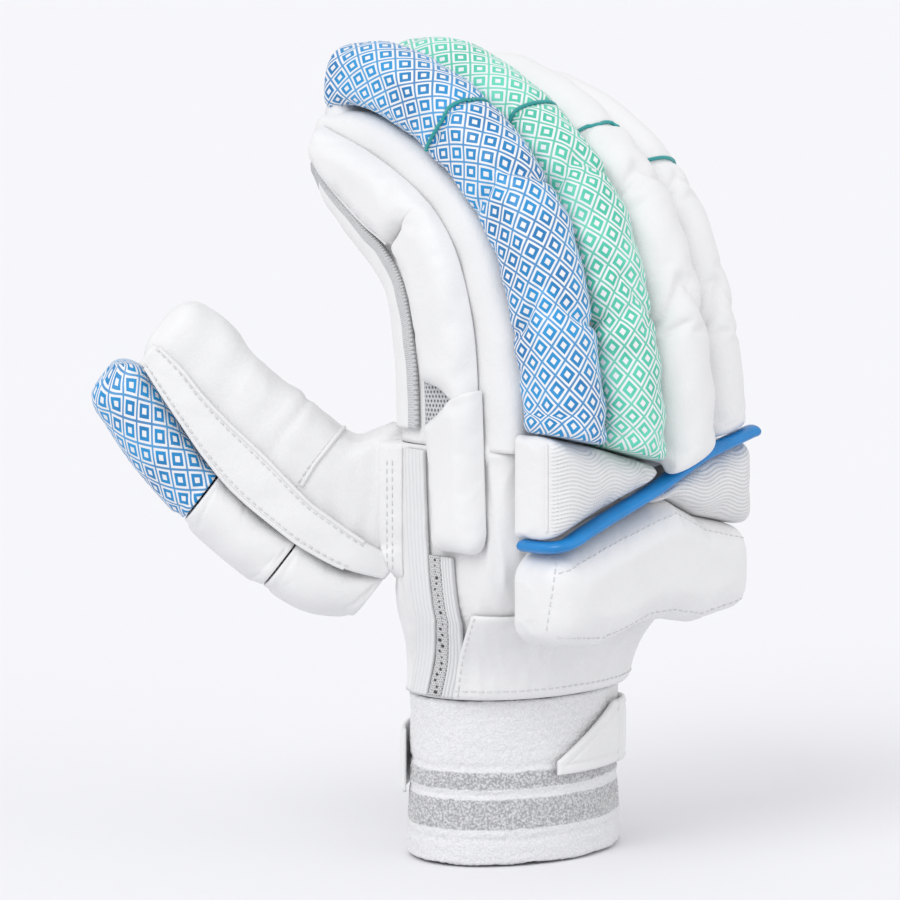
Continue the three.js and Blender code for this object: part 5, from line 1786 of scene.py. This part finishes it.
def seams(grids, pads, heel):
    white = []
    x = np.linspace(BACK_PAD_LEFT + 4, BACK_PAD_RIGHT - 4, 120)
    for line, inset in (("wrist_top", -4.2), ("wrist_base", 3.6)):
        path = np.stack([x, np.full_like(x, -130), back_line(line)(x) + inset], axis=-1)
        white.append(met_on(pads["wrist_guard_block"], [(Vector(p * MM), Vector((0, 1, 0))) for p in path]))
    white += [strip_line(v, 0.1) for v in (0.12, 0.88)]
    for u, v in ((np.linspace(0.02, 0.98, 140), 0.1), (0.025, np.linspace(0.05, 0.95, 40))):
        path = heel_place(*np.broadcast_arrays(u, v), GAP + LEATHER)
        white.append(laid_on(heel, path)[0])
    # Dark discs on the mesh tape stand for its holes; their colour is painted shadow.
    rng = np.random.default_rng(202)
    spots = strip_place(STRIPS[1], 0.42 + 0.16 * rng.uniform(-1, 1, 24), np.linspace(0.03, 0.97, 24), 3.0)
    places, facing = laid_on(bpy.data.objects["side_mesh_tape"], spots, 0.02)
    run_along("side_mesh_holes", [places], HOLE_TREE, "hole", "grey_mesh", facing, Radius=0.00055)
    welts = []
    for look, piece, points in SEAM_ROWS:
        line = seen_on(bpy.data.objects[piece], points, 0.1 if look == "stitch" else 0.3)
        if len(line) > 3:
            (white if look == "stitch" else welts).append(line)
    welts += [strip_line(v, 0.0) for v in (0.02, 0.98)]
    tip = SIDE_PADS[1]
    share = np.linspace(tip["from"] + 0.01, tip["to"] - 0.01, 60)
    far = np.interp(share, [tip["from"], tip["to"]], [tip["far_from"], tip["far_to"]])
    depth = curl(INDEX, share)[4] * (far + 0.005)
    edge = finger_points(INDEX, share, -stall_half(INDEX) - GAP - 1.5, depth)
    welts.append(laid_on(pads["index_side_tip_stuffed"], edge, 0.5)[0])
    run_along("white_welts", welts, CORD_TREE, "taut", Radius=0.0007)
    run_along("white_seam_stitches", white, STITCH_TREE, "thread", Thickness=0.00028)

    teal = []
    for finger in FINGERS:
        grid, uv = grids[finger["name"]]
        level = roll_length_at(finger, grid, JOINT_PLACE[finger["name"]])
        half = FINGER_PITCH * finger["width"] / 2
        across = np.linspace(-half - 18, half + 4, 60)
        rows = uv[:, 0, 1]
        path = []
        for a in across:
            v = level + joint_level(np.array(a))
            r = int(clamp(np.searchsorted(rows, v), 0, len(rows) - 2))
            i = int(np.argmin(np.abs(uv[r, :-1, 0] - a)))
            path.append(grid[r, i])
        smoothed = np.stack([np.convolve(line, np.ones(5) / 5, mode="valid") for line in np.array(path).T], axis=-1)
        teal.append(laid_on(pads[finger["name"] + "_finger_roll"], smoothed, 0.25)[0])
    run_along("teal_joint_cords", teal, CORD_TREE, "teal", "mint_print_leather", Radius=0.00065)


def main():
    grids = {}
    looks = {"index": ("blue", "blue_print_leather"), "middle": ("mint", "mint_print_leather")}
    for number, finger in enumerate(FINGERS):
        look, slot = looks.get(finger["name"], ("taut", "white_leather"))
        grids[finger["name"]] = roll_piece(finger, number, look, slot)
    back_pads()
    index_side_pads()
    for spec in THUMB_PADS:
        thumb_pad_piece(spec)
    inflate_pads()
    pads = finish_pads()

    for number, finger in enumerate(FINGERS):
        stall_piece(finger, number)
    hand = hand_piece()
    thumb = thumb_stall_piece()
    strip = thumb_strip_piece()
    gusset_piece()
    notch_meshes()
    strip_pieces()
    heel = heel_piece()
    cuff_piece()
    strap_pieces()
    piping_piece()
    wall_joint()
    thumb_web((thumb, strip, hand, bpy.data.objects["side_rib_rear_tape"]))
    seams(grids, pads, heel)


# Soft daylight: azimuth and elevation it comes from, how wide it spreads, strength
LAMPS = [("key", -80, 42, 35, 1.1), ("fill", 15, 25, 60, 0.35)]
FLOOR_REACH = 40.0


def studio():
    floor_mesh = bpy.data.meshes.new("studio_floor")
    corners = [(x * FLOOR_REACH, y * FLOOR_REACH, -0.0005) for x, y in ((-1, -1), (1, -1), (1, 1), (-1, 1))]
    floor_mesh.from_pydata(corners, [], [(0, 1, 2, 3)])
    floor = add_object("studio_floor", floor_mesh)
    material, tree = new_finish("pale_floor", 0.9, 0.1)
    mottle = blend_colour(tree, noise(tree, 3.0), (0.815, 0.815, 0.835, 1), (0.81, 0.81, 0.83, 1))
    put(tree, "Base Color", mottle)
    floor_mesh.materials.append(material)

    world = bpy.data.worlds.new("studio")
    world.use_nodes = True
    sky = world.node_tree.nodes["Background"].inputs
    sky["Color"].default_value = (0.985, 0.985, 1.0, 1)
    sky["Strength"].default_value = 0.88
    bpy.context.scene.world = world

    for name, azimuth, elevation, softness, strength in LAMPS:
        data = bpy.data.lights.new(name, "SUN")
        data.angle = math.radians(softness)
        data.energy = strength
        obj = add_object(name, data)
        back = Vector(toward(azimuth, elevation))
        obj.location = back
        obj.rotation_euler = back.to_track_quat("Z", "Y").to_euler()


def camera():
    place = view_place() * MM
    data = bpy.data.cameras.new("camera")
    data.lens = VIEW_LENS
    data.sensor_width = SENSOR
    obj = add_object("camera", data)
    turn = Matrix((VIEW_RIGHT, VIEW_UP, VIEW_BACK)).transposed().to_4x4()
    obj.matrix_world = Matrix.Translation(Vector(place)) @ turn
    bpy.context.scene.camera = obj
    bpy.context.scene.view_settings.view_transform = "Standard"


camera()
main()
studio()
